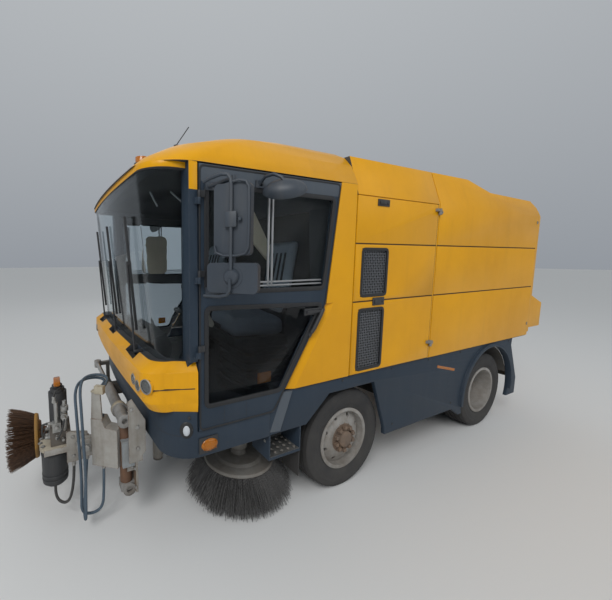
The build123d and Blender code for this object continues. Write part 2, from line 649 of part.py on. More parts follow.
def wipers():
    """Three upright arms with their blades, rising from the bumper's pockets."""
    lean = (GLASS_TOP_FRONT - GLASS_LOW_FRONT) / (GLASS_TOP_Z - GLASS_LOW_Z)
    solids = []
    foot = extrude(cab_outline(CAB_FLOOR_TOP, GLASS_LOW_FRONT - 1 - FIT, GLASS_HALF, 116, PILLAR_REAR),
                   amount=GLASS_LOW_Z - CAB_FLOOR_TOP + FIT)
    for x in WIPER_X:
        def front(z, clear):
            return GLASS_LOW_FRONT + lean * (z - GLASS_LOW_Z) - clear
        spindle = rod((x, front(1150, -30), 1150), (x, front(1150, 46), 1150), 14) - foot
        arm = rod((x, front(1150, 38), 1150), (x, front(1720, 26), 1720), 7)
        blade = side_prism([(front(1290, 4), 1290), (front(1290, 20), 1290), (front(1990, 20), 1990),
                            (front(1990, 4), 1990)], x - 8, x + 8)
        saddle = rod((x, front(1700, 28), 1700), (x, front(1700, 12), 1700), 10)
        solids.append(merge(spindle, arm, blade, saddle).solid())
    return Compound(children=solids)


def door():
    """The left door: frame with two window openings, and its two hinge leaves."""
    upper, lower = door_panes()
    leaf = side_prism(door_outline(), CAB_WALL_X + 2, HALF_WIDTH - 2)
    leaf -= side_prism(upper, CUT_IN, CUT_OUT)
    leaf -= side_prism(lower, CUT_IN, CUT_OUT)
    handle_rear = WAIST_Y - 40
    handle = merge(
        block(HALF_WIDTH - 3, HALF_WIDTH + 6, handle_rear - 150, handle_rear, 1376, 1418),
        block(HALF_WIDTH + 5, HALF_WIDTH + 20, handle_rear - 140, handle_rear - 20, 1390, 1406),
    )
    return merge(leaf, handle)


def door_glass():
    upper, lower = door_panes()
    panes = [offset(make_face(Polyline(*outline, close=True)), amount=-FIT) for outline in (upper, lower)]
    return Compound(children=[extrude(Plane.YZ.offset(CAB_WALL_X + 14) * pane, amount=6).solid() for pane in panes])


DOOR_HINGE_Z = (1235.0, 1640.0, 2050.0)
DOOR_HINGE_X = HALF_WIDTH + 10
DOOR_HINGE_Y = DOOR_FRONT - 4


def door_hinges():
    """Fixed and moving halves of the left door's hinges."""
    fixed, moving = [], []
    for z in DOOR_HINGE_Z:
        to_pillar = block(HALF_WIDTH - 6, DOOR_HINGE_X + 4, DOOR_HINGE_Y - 22, DOOR_HINGE_Y, z - 34, z - 2)
        to_door = block(HALF_WIDTH - 2, DOOR_HINGE_X + 4, DOOR_HINGE_Y, DOOR_HINGE_Y + 30, z + 2, z + 34)
        half_fixed, half_leaf = hinge((DOOR_HINGE_X, DOOR_HINGE_Y, z), (0, 0, 1), 9, 70, to_pillar, to_door)
        fixed.append(half_fixed)
        moving.append(half_leaf)
    return fixed, moving


def mirrors():
    """The left door's mirrors: two brackets, a tall head, a wide head and the kerb head."""
    outer_x = HALF_WIDTH + 155
    bracket = merge(
        rod((HALF_WIDTH + 4, -1180, 2108), (outer_x, -1120, 2125), 11),
        rod((outer_x, -1120, 2137), (outer_x, -1120, 1563), 12),
        rod((HALF_WIDTH + 4, -1180, 1560), (outer_x, -1120, 1575), 11),
        block(HALF_WIDTH - 2, HALF_WIDTH + 10, -1200, -1150, 2090, 2130),
        block(HALF_WIDTH - 2, HALF_WIDTH + 10, -1200, -1150, 1535, 1585),
    )
    turned = Rot(0, 0, 38)
    tall = fillet(Box(190, 46, 345).edges().filter_by(Axis.Y), 24)
    wide = fillet(Box(265, 46, 150).edges().filter_by(Axis.Y), 24)
    bracket += Pos(outer_x, -1120, 1925) * turned * tall
    bracket += Pos(outer_x, -1120, 1642) * turned * wide
    kerb_arm = merge(
        rod((HALF_WIDTH + 4, -860, 2150), (HALF_WIDTH + 85, -800, 2140), 10),
        block(HALF_WIDTH - 2, HALF_WIDTH + 10, -885, -835, 2130, 2170),
    )
    kerb = fillet(Box(150, 210, 70).edges().filter_by(Axis.Z), 50)
    kerb = Pos(HALF_WIDTH + 112, -770, 2110) * Rot(0, 20, 30) * kerb
    return Compound(children=[bracket.solid(), merge(kerb_arm, kerb).solid()])


def beacon():
    base = rod((200, -1290, 2340), (200, -1290, 2425), 62)
    lens = rod((200, -1290, 2425), (200, -1290, 2470), 52)
    antenna = rod((600, -1180, 2350), (600, -1180, 2452), 16)
    antenna += rod((600, -1180, 2452), (640, -1110, 2560), 3)
    outer = Pos(0, 0, FIT) * cab_stack(ROOF_LEVELS, CAB_BACK + 4)
    return Compound(children=[(merge(base, lens) - outer).solid(), (antenna - outer).solid()])


# Body behind the cab
def body_section(inset=0.0):
    """The body's (x, z) outline: upright sides, sloped shoulders and a crowned roof."""
    x, low = HALF_WIDTH - inset, BODY_LOW
    return [
        (-x, low), (x, low), (x, SHOULDER_Z), (ROOF_EDGE_X - inset * 0.8, ROOF_EDGE_Z - inset * 0.6),
        (0, ROOF_CROWN_Z - inset), (-ROOF_EDGE_X + inset * 0.8, ROOF_EDGE_Z - inset * 0.6), (-x, SHOULDER_Z),
    ]


def mid_shell():
    """Roof, two bulkheads and sills of the engine bay; its sides are the hatches."""
    outer = front_prism(body_section(), MID_FRONT, MID_REAR)
    inner = front_prism(body_section(BODY_WALL), MID_FRONT + BULKHEAD, MID_REAR - BULKHEAD)
    sill_in = HALF_WIDTH - 140
    inner_low = block(-sill_in, sill_in, MID_FRONT + BULKHEAD, MID_REAR - BULKHEAD, BODY_LOW - 1, BODY_LOW + 30)
    sill = block(sill_in, HALF_WIDTH - BODY_WALL - 2, MID_FRONT, MID_REAR, BODY_LOW, BODY_LOW + 24)
    side = block(HALF_WIDTH - BODY_WALL - 1, HALF_WIDTH + 1, MID_FRONT - 1, MID_REAR - BULKHEAD,
                 BODY_LOW - 1, SHOULDER_Z - 4)
    shell = outer - inner - inner_low - side - other_side(side)
    return merge(shell, sill, other_side(sill))


HATCH_FRONT = MID_FRONT + 2
HATCH_REAR = MID_REAR - BULKHEAD - 3
HATCH_LOW = BODY_LOW + 4
HATCH_TOP = SHOULDER_Z - 9
LOUVRES = [
    # y front, y rear, z low, z top
    (20, 300, 1465, 1808),
    (10, 285, 925, 1378),
]
LATCH_FRONT = 153.0
LATCH_REAR = 278.0
LATCHES = [
    # z low, z top
    (1396, 1454),
    (2104, 2152),
]


def hatch():
    """The left side hatch: one panel with two pressed creases and two louvre openings."""
    panel = block(HALF_WIDTH - BODY_WALL + 2, HALF_WIDTH, HATCH_FRONT, HATCH_REAR, HATCH_LOW, HATCH_TOP)
    for z in (LOWER_CREASE, UPPER_CREASE):
        panel -= block(HALF_WIDTH - 5, HALF_WIDTH + 1, HATCH_FRONT - 1, HATCH_REAR + 1, z - 5, z + 5)
    for y0, y1, z0, z1 in LOUVRES:
        panel -= block(CUT_IN, CUT_OUT, y0, y1, z0, z1)
    return panel


def louvres():
    """Mesh panels in the left hatch's openings, with upright and level bars, and the two latches."""
    solids = []
    for y0, y1, z0, z1 in LOUVRES:
        x0, x1 = HALF_WIDTH - 20, HALF_WIDTH - 8
        mesh = block(x0, x1, y0 + FIT, y1 - FIT, z0 + FIT, z1 - FIT)
        mesh -= block(x0 - 1, x1 + 1, y0 + 14, y1 - 14, z0 + 14, z1 - 14)
        rows = round((z1 - z0) / 36)
        columns = round((y1 - y0) / 44)
        for i in range(1, rows):
            z = z0 + (z1 - z0) * i / rows
            mesh += block(x0 + 2, x1 - 2, y0 + 5, y1 - 5, z - 4, z + 4)
        for i in range(1, columns):
            y = y0 + (y1 - y0) * i / columns
            mesh += block(x0 + 2, x1 - 2, y - 4, y + 4, z0 + 5, z1 - 5)
        solids.append(mesh.solid())
    for z0, z1 in LATCHES:
        plate = block(HALF_WIDTH, HALF_WIDTH + 7, LATCH_FRONT, LATCH_REAR, z0, z1)
        grip = block(HALF_WIDTH + 6, HALF_WIDTH + 15, LATCH_FRONT + 14, LATCH_REAR - 40, z0 + 12, z1 - 12)
        solids.append(merge(plate, grip).solid())
    return Compound(children=solids)


HATCH_HINGE_Z = (1028.0, 2107.0)
HATCH_HINGE_X = HALF_WIDTH + 13
HATCH_HINGE_Y = MID_REAR - BULKHEAD / 2 - 3


def hatch_hinges():
    fixed, moving = [], []
    for z in HATCH_HINGE_Z:
        to_post = block(HALF_WIDTH, HATCH_HINGE_X + 4, HATCH_HINGE_Y - 4, MID_REAR, z - 24, z - 2)
        to_hatch = block(HALF_WIDTH, HATCH_HINGE_X + 4, HATCH_HINGE_Y - 44, HATCH_HINGE_Y, z + 2, z + 24)
        half_fixed, half_leaf = hinge((HATCH_HINGE_X, HATCH_HINGE_Y, z), (0, 0, 1), 11, 50, to_post, to_hatch)
        fixed.append(half_fixed)
        moving.append(half_leaf)
    return fixed, moving


def hopper_profile(inset=0.0):
    """The hopper's side view in (y, z): level roof, step down and rear edge."""
    return [
        (HOPPER_FRONT + inset, BODY_LOW + inset), (HOPPER_FRONT + inset, ROOF_CROWN_Z + 5 - inset),
        (1380 - inset * 0.3, ROOF_CROWN_Z + 5 - inset), (1820 - inset * 0.3, 2345 - inset),
        (HOPPER_REAR - 105, 2330 - inset), (HOPPER_REAR, HOPPER_EDGE_Z - inset),
        (HOPPER_REAR, BODY_LOW + inset),
    ]


def hopper_body():
    outer = front_prism(body_section(), HOPPER_FRONT, HOPPER_REAR)
    outer &= side_prism(hopper_profile(), -HALF_WIDTH, HALF_WIDTH)
    inner_profile = hopper_profile(BODY_WALL)
    inner_profile[-2:] = [(HOPPER_REAR + 9, HOPPER_EDGE_Z - BODY_WALL), (HOPPER_REAR + 9, BODY_LOW + BODY_WALL)]
    inner = front_prism(body_section(BODY_WALL), HOPPER_FRONT + BODY_WALL, HOPPER_REAR + 9)
    inner &= side_prism(inner_profile, -HALF_WIDTH, HALF_WIDTH)
    shell = outer - inner
    for z in (LOWER_CREASE, UPPER_CREASE):
        groove = block(HALF_WIDTH - 5, HALF_WIDTH + 1, HOPPER_FRONT - 1, HOPPER_REAR - 20, z - 5, z + 5)
        shell = shell - groove - other_side(groove)
    lug = block(RAIL_IN + 45, RAIL_OUT - 5, TIP_Y - 35, TIP_Y + 20, TIP_Z, BODY_LOW)
    lug += rod((RAIL_IN + 45, TIP_Y, TIP_Z), (RAIL_OUT - 5, TIP_Y, TIP_Z), 35)
    lug -= block(RAIL_IN, RAIL_OUT, TIP_Y - 80, TIP_Y + 80, TIP_Z - 80, TIP_Z - 34)
    lug -= rod((RAIL_IN, TIP_Y, TIP_Z), (RAIL_OUT + 10, TIP_Y, TIP_Z), TIP_PIN_R + RUN_CLEAR)
    return merge(shell, lug, other_side(lug))


def tailgate():
    """The rear door with its deep lower discharge box."""
    low = BODY_LOW + 30
    plate = front_prism([(-HALF_WIDTH + 4, low), (HALF_WIDTH - 4, low), (HALF_WIDTH - 4, SHOULDER_Z),
                         (HALF_WIDTH - 30, HOPPER_EDGE_Z - 22), (-HALF_WIDTH + 30, HOPPER_EDGE_Z - 22),
                         (-HALF_WIDTH + 4, SHOULDER_Z)],
                        TAILGATE_FRONT, TAILGATE_FRONT + TAILGATE_T)
    back = TAILGATE_FRONT + TAILGATE_T
    box = side_prism([(back, 975), (REAR_REACH, 975), (REAR_REACH, 1235), (back, 1330)],
                     -HALF_WIDTH + 4, HALF_WIDTH - 4)
    hollow = side_prism([(back + 1, 950), (REAR_REACH - 30, 950), (REAR_REACH - 30, 1210), (back + 1, 1298)],
                        -HALF_WIDTH + 34, HALF_WIDTH - 34)
    return merge(plate, box - hollow)


TAILGATE_HINGE_X = (-700.0, 700.0)


def tailgate_hinges():
    fixed, moving = [], []
    for x in TAILGATE_HINGE_X:
        y, z = TAILGATE_HINGE_Y, TAILGATE_HINGE_Z
        to_roof = side_prism([
            (HOPPER_REAR - 60, z + 13), (HOPPER_REAR - 60, z + 43), (y, z + 14), (y, z - 6),
            (HOPPER_REAR, z - 6), (HOPPER_REAR, z - 22), (HOPPER_REAR - 20, z - 22),
        ], x - 40, x - 2)
        to_gate = block(x + 2, x + 40, TAILGATE_FRONT + 6, y + 8, z - 37, z)
        half_fixed, half_leaf = hinge((x, y, z), (1, 0, 0), 14, 80, to_roof, to_gate)
        fixed.append(half_fixed)
        moving.append(half_leaf)
    return fixed, moving


# Lower body
def side_skirt():
    """The left skirt with its angular front arch and round rear arch."""
    outline = [
        (-738, SKIRT_LOW), (-738, DOOR_LOW - PANEL_GAP), (-706, DOOR_LOW - PANEL_GAP), (-632, SKIRT_TOP),
        (SKIRT_REAR - 171, SKIRT_TOP), (SKIRT_REAR - 181, 816), (SKIRT_REAR, 430), (SKIRT_REAR, 250),
        (WHEELBASE - 506, 250), (WHEELBASE - 626, 330),
        (410, 330), (409, 385), (249, 798), (-224, 798), (-430, SKIRT_LOW),
    ]
    skirt = side_prism(outline, SKIRT_IN, SKIRT_OUT)
    skirt -= rod((CUT_IN, WHEELBASE, TYRE_R), (CUT_OUT, WHEELBASE, TYRE_R), ARCH_R)
    flare = pipe((SKIRT_OUT - 10, WHEELBASE, TYRE_R), (HALF_WIDTH + 8, WHEELBASE, TYRE_R), ARCH_R + 34, ARCH_R)
    flare -= block(CUT_IN, CUT_OUT, WHEELBASE - 600, WHEELBASE + 600, -300, 330)
    return merge(skirt, flare)


def steps():
    """The left foot step: a perforated tread between two hangers."""
    inner_x = SKIRT_OUT - STEP_DEPTH
    tread = block(inner_x, SKIRT_OUT, -738, -478, 446, 466)
    for i in range(5):
        for j in range(4):
            x, y = inner_x + 30 + 42 * j, -712 + 52 * i
            tread -= rod((x, y, 400), (x, y, 500), 11)
    hanger = block(inner_x, SKIRT_OUT, -738, -730, 446, SKIRT_LOW)
    return merge(tread, hanger, block(inner_x, SKIRT_OUT, -486, -478, 446, SKIRT_LOW))


def mudflap():
    return block(SKIRT_OUT - STEP_DEPTH + 12, SKIRT_OUT - 12, -478, -470, 250, 500)


def suction_nozzle():
    """The suction mouth: a hood open below, two hanger plates and the stub for the duct."""
    hood = loft([Pos(0, 760, 60) * Rectangle(900, 420), Pos(0, 800, 250) * Rectangle(560, 300)], ruled=True)
    cavity = loft([Pos(0, 760, 59) * Rectangle(870, 390), Pos(0, 800, 230) * Rectangle(530, 270)], ruled=True)
    skirt = block(-450, 450, 550, 970, 30, 60) - block(-435, 435, 565, 955, 29, 61)
    hanger = block(RAIL_IN + 10, RAIL_IN + 30, 640, 760, 130, RAIL_LOW)
    hanger -= block(0, 500, 500, 1000, 0, 200)
    shell = merge(hood, skirt, hanger, other_side(hanger)) - cavity
    return shell - rod((0, 830, 200), (0, 830, 260), 106)


def suction_duct():
    """The suction pipe, from the hood up to the hopper floor."""
    low, bend, high = (0, 830, 250), (0, 830, 380), (0, 1080, BODY_LOW - 6)
    path = FilletPolyline(low, bend, (0, 1080, 700), high, radius=120)
    ring = Plane(origin=low, z_dir=(0, 0, 1)) * (Circle(118) - Circle(106))
    return sweep(ring, path=path)


# Side brushes
def brush_arm():
    """The left arm: its pivot barrel, the two-bar arm and the motor's seat above the disc."""
    reach = Vector(BRUSH_X - ARM_PIVOT_X, BRUSH_Y - ARM_PIVOT_Y, 0)
    turn = math.degrees(math.atan2(-reach.X, reach.Y))
    barrel = pipe((ARM_PIVOT_X, ARM_PIVOT_Y, 290 + RUN_CLEAR), (ARM_PIVOT_X, ARM_PIVOT_Y, 470),
                  36, 18 + RUN_CLEAR)
    beam = Pos(ARM_PIVOT_X, ARM_PIVOT_Y, 0) * Rot(0, 0, turn) * merge(
        block(-26, 26, 24, reach.length - 60, 345, 395),
        block(-8, 8, 24, 260, 395, 440),
    )
    motor = rod((BRUSH_X, BRUSH_Y, BRUSH_DISC_Z + 75), (BRUSH_X, BRUSH_Y, 430), 68)
    shaft = rod((BRUSH_X, BRUSH_Y, BRUSH_DISC_Z - 8), (BRUSH_X, BRUSH_Y, BRUSH_DISC_Z + 80), 20)
    whole = merge(barrel, beam, motor, shaft)
    return whole - rod((ARM_PIVOT_X, ARM_PIVOT_Y, 200), (ARM_PIVOT_X, ARM_PIVOT_Y, 500), 18 + RUN_CLEAR)


def brush_disc(radius, bore):
    """A brush's steel plate about its own axis, face down: rim, raised centre and bore."""
    profile = [
        (bore, 0), (bore, 60), (bore + 26, 60), (bore + 40, 26), (radius * 0.62, 24), (radius * 0.7, 10),
        (radius - 6, 8), (radius, -4), (radius, -14), (radius - 10, -14), (radius - 12, -4), (bore + 30, 0),
    ]
    return revolve(Plane.XZ * make_face(Polyline(*profile, close=True)), axis=Axis.Z)


def brush_tufts(radius, spread, drop, count, carrier=4.0 + FIT):
    """Tufts splayed from a ring below the disc: each a blade that widens to its tip."""
    ring = pipe((0, 0, -carrier - 22), (0, 0, -carrier), radius - 14, radius - 74)
    tufts = ring
    lean = (spread - radius, 0, -drop)
    for i in range(count):
        foot = Plane(origin=(radius - 44, 0, -carrier - 13), z_dir=lean) * Rectangle(26, 26)
        tip = Plane(origin=(spread - 22, 0, -drop), z_dir=lean) * Rectangle(TUFT_TIP_T, 62)
        tufts += Rot(0, 0, 360 * i / count) * loft([foot, tip], ruled=True)
    return tufts


# Front brush unit
def front_mount():
    """The bracket ahead of the chassis: cross beam, back plate, mast with its lugs, and the slew ram."""
    beam = merge(
        block(-RAIL_OUT, MAST_X + 86, -1500, -1470, 470, 600),
        block(RAIL_IN, RAIL_OUT, -1475, RAIL_FRONT, 500, 600),
        block(-RAIL_OUT, -RAIL_IN, -1475, RAIL_FRONT, 500, 600),
    )
    back = block(MAST_X - 50, MAST_X + 80, -1515, -1500, 262, RAM_Z + 12)
    boss = rod((MAST_X - 45, MAST_Y + 12, 270), (MAST_X + 48, MAST_Y + 12, 270), 42)
    boss -= rod((MAST_X + 20, MAST_Y + 12, 270), (MAST_X + 60, MAST_Y + 12, 270), 20)
    low_lug = block(MAST_X - 45, MAST_X + 38, MAST_Y - 40, -1500, 262, MAST_LOW)
    top_lug = block(MAST_X - 30, MAST_X + 30, MAST_Y - 24, -1500, MAST_TOP, RAM_Z - RAM_R + 2)
    mast = rod((MAST_X, MAST_Y, MAST_LOW - 20), (MAST_X, MAST_Y, MAST_TOP + 10), MAST_R)
    cheek = side_prism([
        (-1555, 470), (-1555, 868), (-1530, 885), (-1448, 735), (-1448, 530), (-1500, 470),
    ], MAST_X + 76, MAST_X + 86)
    flange = merge(
        block(MAST_X + 40, MAST_X + 86, -1456, -1448, 530, 735),
        block(MAST_X + 20, MAST_X + 86, -1530, -1448, 712, 722),
    )
    guard = block(MAST_X + 42, MAST_X + 48, MAST_Y - 1, -1500, 395, 525)
    ram = merge(
        rod((110, RAM_Y, RAM_Z), (MAST_X + 84, RAM_Y, RAM_Z), RAM_R),
        rod((MAST_X + 66, RAM_Y, RAM_Z), (MAST_X + 84, RAM_Y, RAM_Z), RAM_R + 5),
        rod((-470, RAM_Y, RAM_Z), (110, RAM_Y, RAM_Z), 18),
        rod((-490, RAM_Y, RAM_Z - 32), (-490, RAM_Y, RAM_Z + 32), 30),
    ) - rod((MAST_X + 60, RAM_Y, RAM_Z), (MAST_X + 90, RAM_Y, RAM_Z), 17)
    clamp = merge(
        rod((MAST_X - 120, RAM_Y, RAM_Z), (MAST_X - 80, RAM_Y, RAM_Z), RAM_R + 12),
        block(MAST_X - 120, MAST_X - 80, RAM_Y, -1500, RAM_Z - 18, RAM_Z + 18),
        block(MAST_X - 120, MAST_X - 20, -1515, -1500, 600, RAM_Z + 18),
        block(MAST_X - 120, MAST_X - 20, -1515, -1500, 470, 600),
    )
    far_foot = merge(
        block(-510, -470, RAM_Y, -1470, RAM_Z - 16, RAM_Z + 16),
        block(-510, -470, -1500, -1470, 560, RAM_Z + 16),
        block(-510, -RAIL_OUT, -1500, -1470, 560, 600),
    )
    return merge(beam, back, boss, low_lug, top_lug, mast, cheek, flange, guard, ram, clamp, far_foot)


def at_mast(shape):
    """From the arm's own frame, which looks along -Y from the mast, to the arm's resting place."""
    return Pos(MAST_X, MAST_Y, 0) * Rot(0, 0, ARM_TURN) * shape


def front_arm():
    """The slewing arm: barrel on the mast, deep plate box with its top bracket, and the tilt pin."""
    barrel = pipe((0, 0, MAST_LOW + RUN_CLEAR), (0, 0, MAST_TOP - RUN_CLEAR), BARREL_R, MAST_R + RUN_CLEAR)
    inner = ARM_NEAR - ARM_DEEP
    box = side_prism([
        (-ARM_START + 20, ARM_LOW), (-ARM_END, ARM_LOW), (-ARM_END, ARM_TOP), (-125, ARM_TOP), (-100, 690),
        (-ARM_START + 20, 680),
    ], inner, ARM_NEAR)
    crest = side_prism([(-118, ARM_TOP - 10), (-ARM_END, ARM_TOP - 10), (-185, 918), (-128, 918)],
                       ARM_NEAR - 14, ARM_NEAR - 4)
    bar = side_prism([(-188, 912), (-125, 912), (-125, 924), (-188, 924)], ARM_NEAR - 30, ARM_NEAR)
    saddle = block(ARM_NEAR - 30, ARM_NEAR, -165, -105, 905, 955)
    tube = rod((ARM_NEAR - 34, -130, ARM_TOP + 10), (ARM_NEAR - 34, -ARM_END + 2, ARM_TOP + 10), 14)
    arm = merge(barrel, box, crest, bar, saddle, tube)
    arm = at_mast(arm - rod((0, 0, 200), (0, 0, 800), MAST_R + RUN_CLEAR))
    tip = merge(
        block(490, 530, TILT_Y - 20, -1700, TILT_Z - 60, TILT_Z + 60),
        rod((490, TILT_Y, TILT_Z), (530, TILT_Y, TILT_Z), 52),
        rod((395, TILT_Y, TILT_Z), (490, TILT_Y, TILT_Z), TILT_PIN_R),
    )
    return merge(arm, tip)


def front_head():
    """The tilting head: eye, side plate, shelf, motor pot, valve block, tank and the brush's motor."""
    eye = rod((410, TILT_Y, TILT_Z), (488, TILT_Y, TILT_Z), TILT_EYE_R)
    plate = side_prism([
        (TILT_Y + 20, 470), (TILT_Y + 20, 610), (-1900, 640), (-1900, 430), (TILT_Y - 20, 430),
    ], 440, 460)
    shelf_top = SHELF_Z + SHELF_T
    shelf = merge(
        block(250, 460, -2030, -1870, SHELF_Z, shelf_top),
        rod((POT_X, POT_Y, SHELF_Z), (POT_X, POT_Y, shelf_top), POT_R + 8),
        block(240, 460, -1890, -1870, 430, 640),
    )
    pot = merge(
        rod((POT_X, POT_Y, POT_LOW + 16), (POT_X, POT_Y, SHELF_Z), POT_R),
        rod((POT_X, POT_Y, POT_LOW), (POT_X, POT_Y, POT_LOW + 16), POT_R - 16),
    )
    manifold = merge(
        block(250, 430, -1990, -1890, shelf_top, 640),
        block(390, 440, -1975, -1925, 640, 700),
        block(300, 350, -1985, -1905, 640, 668),
        rod((300, -1935, 640), (300, -1935, 860), 56),
        rod((300, -1935, 860), (300, -1935, 884), 44),
        rod((420, -1900, 640), (420, -1900, 800), 16),
        rod((420, -1900, 770), (420, -1900, 800), 24),
        rod((415, -1950, 690), (415, -1950, 830), 12),
        rod((360, -1905, 740), (455, -1905, 740), 20),
    )
    drive = merge(
        block(NOSE_X - 40, 260, -1990, -1950, NOSE_Z - 40, NOSE_Z + 50),
        rod((NOSE_X, -1880, NOSE_Z), (NOSE_X, NOSE_DISC_Y + 68, NOSE_Z), 55),
        rod((NOSE_X, NOSE_DISC_Y + 80, NOSE_Z), (NOSE_X, NOSE_DISC_Y - 8, NOSE_Z), 20),
    )
    head = merge(eye, plate, shelf, pot, manifold, drive)
    return head - rod((380, TILT_Y, TILT_Z), (489, TILT_Y, TILT_Z), TILT_PIN_R + RUN_CLEAR)


def on_nose(shape):
    """A brush part modelled face down is turned to face forwards on the front head."""
    return Pos(NOSE_X, NOSE_DISC_Y, NOSE_Z) * Rot(-90, 0, 0) * shape


HOSES = {
    # route points in x, y, z; each hose is a run of straights joined by arcs
    "hose_feed": [
        (573.3, -1676.7, 940), (501, -1618, 960), (425, -1680, 978), (450, -1775, 982), (548, -1812, 955),
        (604, -1812, 830), (606, -1808, 620), (599, -1802, 420), (600, -1808, 255), (612, -1814, 95),
        (492, -1816, 88), (500, -1800, 260), (508, -1782, 484.2),
    ],
    "hose_loop": [
        (553.5, -1701.8, 928), (469, -1633, 938), (398, -1690, 950), (420, -1795, 955), (520, -1840, 925),
        (574, -1838, 800), (575, -1832, 600), (566, -1826, 420), (566, -1828, 270), (570, -1836, 125),
        (572, -1706, 115), (566, -1693, 275), (570, -1690, 429.2),
    ],
    "hose_pot": [
        (350, -1972, 260.4), (352, -1990, 140), (452, -1903, 132), (448, -1862, 290), (450, -1860, 429.5),
    ],
}


def bend_radii(points):
    """The largest arc at each inner point that leaves a short straight in both runs."""
    radii = []
    for before, here, after in zip(points, points[1:], points[2:]):
        first, second = Vector(*here) - Vector(*before), Vector(*after) - Vector(*here)
        turn = math.radians(first.get_angle(second))
        radii.append(0.45 * min(first.length, second.length) / math.tan(turn / 2))
    return radii


def hose(points):
    path = FilletPolyline(*points, radius=bend_radii(points))
    start = Plane(origin=points[0], z_dir=Vector(*points[1]) - Vector(*points[0]))
    return sweep(start * Circle(HOSE_R), path=path)


def build_nodes():
    nodes = {}
    frame = cab_frame()
    door_fixed, door_moving = door_hinges()
    frame = merge(frame, *door_fixed, *[other_side(h) for h in door_fixed])
    nodes["chassis_frame"] = chassis_frame()
    nodes["front_axle"] = front_axle()
    nodes["rear_axle"] = rear_axle()
    nodes["engine_block"] = engine_block()
    nodes["cab_frame"] = frame
    nodes["cab_pillars"] = cab_pillars()
    nodes["cab_roof"] = cab_roof()
    nodes["windscreen"] = windscreen()
    nodes["front_bumper"] = front_bumper()
    nodes["front_skirt"] = front_skirt()
    nodes["lamps"] = lamps()
    nodes["seats"] = seats()
    nodes["console"] = console()
    nodes["wipers"] = wipers()
    nodes["beacon"] = beacon()
    left_door = merge(door(), *door_moving)
    left_glass = door_glass()
    left_mirrors = mirrors()
    hatch_fixed, hatch_moving = hatch_hinges()
    shell = mid_shell()
    nodes["mid_shell"] = merge(shell, *hatch_fixed, *[other_side(h) for h in hatch_fixed])
    left_hatch = merge(hatch(), *hatch_moving)
    left_louvres = louvres()
    gate_fixed, gate_moving = tailgate_hinges()
    nodes["hopper_body"] = merge(hopper_body(), *gate_fixed)
    nodes["tailgate"] = merge(tailgate(), *gate_moving)
    nodes["side_skirts"] = pair(side_skirt())
    nodes["steps"] = pair(steps())
    nodes["mudflaps"] = pair(mudflap())
    nodes["suction_nozzle"] = suction_nozzle()
    nodes["suction_duct"] = suction_duct()
    nodes["front_mount"] = front_mount()
    nodes["front_arm"] = front_arm()
    nodes["front_head"] = front_head()
    nodes["front_brush_disc"] = on_nose(brush_disc(NOSE_DISC_R, 20 + RUN_CLEAR))
    nodes["front_brush_tines"] = on_nose(brush_tufts(NOSE_DISC_R, NOSE_TIP_R, NOSE_TINE, 22))
    for name, points in HOSES.items():
        nodes[name] = hose(points)
    tyre = tyre_shape()
    rear_tyres = Compound(children=[tyre.solid(), (Pos(TWIN_INNER - TRACK_HALF, 0, 0) * tyre).solid()])
    sided = {
        "door": left_door,
        "door_glass": left_glass,
        "mirrors": left_mirrors,
        "hatch": left_hatch,
        "louvres": left_louvres,
        "knuckle": knuckle(),
        "front_tyre": at_wheel(tyre, TRACK_HALF, 0),
        "front_rim": at_wheel(front_rim_shape(), TRACK_HALF, 0),
        "rear_tyres": at_wheel(rear_tyres, TRACK_HALF, WHEELBASE),
        "rear_rims": at_wheel(rear_rim_shape(), TRACK_HALF, WHEELBASE),
        "brush_arm": brush_arm(),
        "brush_disc": Pos(BRUSH_X, BRUSH_Y, BRUSH_DISC_Z) * brush_disc(BRUSH_DISC_R, 20 + RUN_CLEAR),
        "brush_tines": Pos(BRUSH_X, BRUSH_Y, BRUSH_DISC_Z) * brush_tufts(
            BRUSH_DISC_R, BRUSH_TIP_R, BRUSH_DISC_Z - BRUSH_TIP_Z, 36),
    }
    for name, shape in sided.items():
        nodes[name + "_left"] = shape
        nodes[name + "_right"] = other_side(shape)
    return nodes


def main():
    os.makedirs("parts", exist_ok=True)
    for name, shape in build_nodes().items():
        export_step(Pos(0, -ORIGIN_BEHIND_AXLE, 0) * shape, f"parts/{name}.step")


main()
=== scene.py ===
# %% [markdown]
# # A compact street sweeper truck, dressed in Blender
# The solids of this machine come from its CAD model, in metres, with the front towards -Y, the left
# side towards +X and the ground at z = 0. This lesson gives them their looks: paint that has faded and
# chipped, rubber, glass, bristles, hoses and seats. Each cell makes one thing and prints what it made.

# %% Load the frame
import bpy
import bmesh
import json
import math
from mathutils import Matrix, Vector
from mathutils.bvhtree import BVHTree


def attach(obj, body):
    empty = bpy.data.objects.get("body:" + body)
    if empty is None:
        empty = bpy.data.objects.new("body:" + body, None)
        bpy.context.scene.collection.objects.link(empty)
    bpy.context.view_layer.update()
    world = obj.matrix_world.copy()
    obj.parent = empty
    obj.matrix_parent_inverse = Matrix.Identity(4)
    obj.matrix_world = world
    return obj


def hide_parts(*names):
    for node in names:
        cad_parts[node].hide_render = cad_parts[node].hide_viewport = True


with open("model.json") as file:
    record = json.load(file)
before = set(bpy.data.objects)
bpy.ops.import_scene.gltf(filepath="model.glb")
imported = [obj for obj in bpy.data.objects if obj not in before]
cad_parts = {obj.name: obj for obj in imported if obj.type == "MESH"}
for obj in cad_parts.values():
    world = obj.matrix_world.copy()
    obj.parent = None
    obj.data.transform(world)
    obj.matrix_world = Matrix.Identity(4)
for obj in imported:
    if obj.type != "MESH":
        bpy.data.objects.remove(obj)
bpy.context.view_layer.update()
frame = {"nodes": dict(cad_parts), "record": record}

NODES = frame["nodes"]
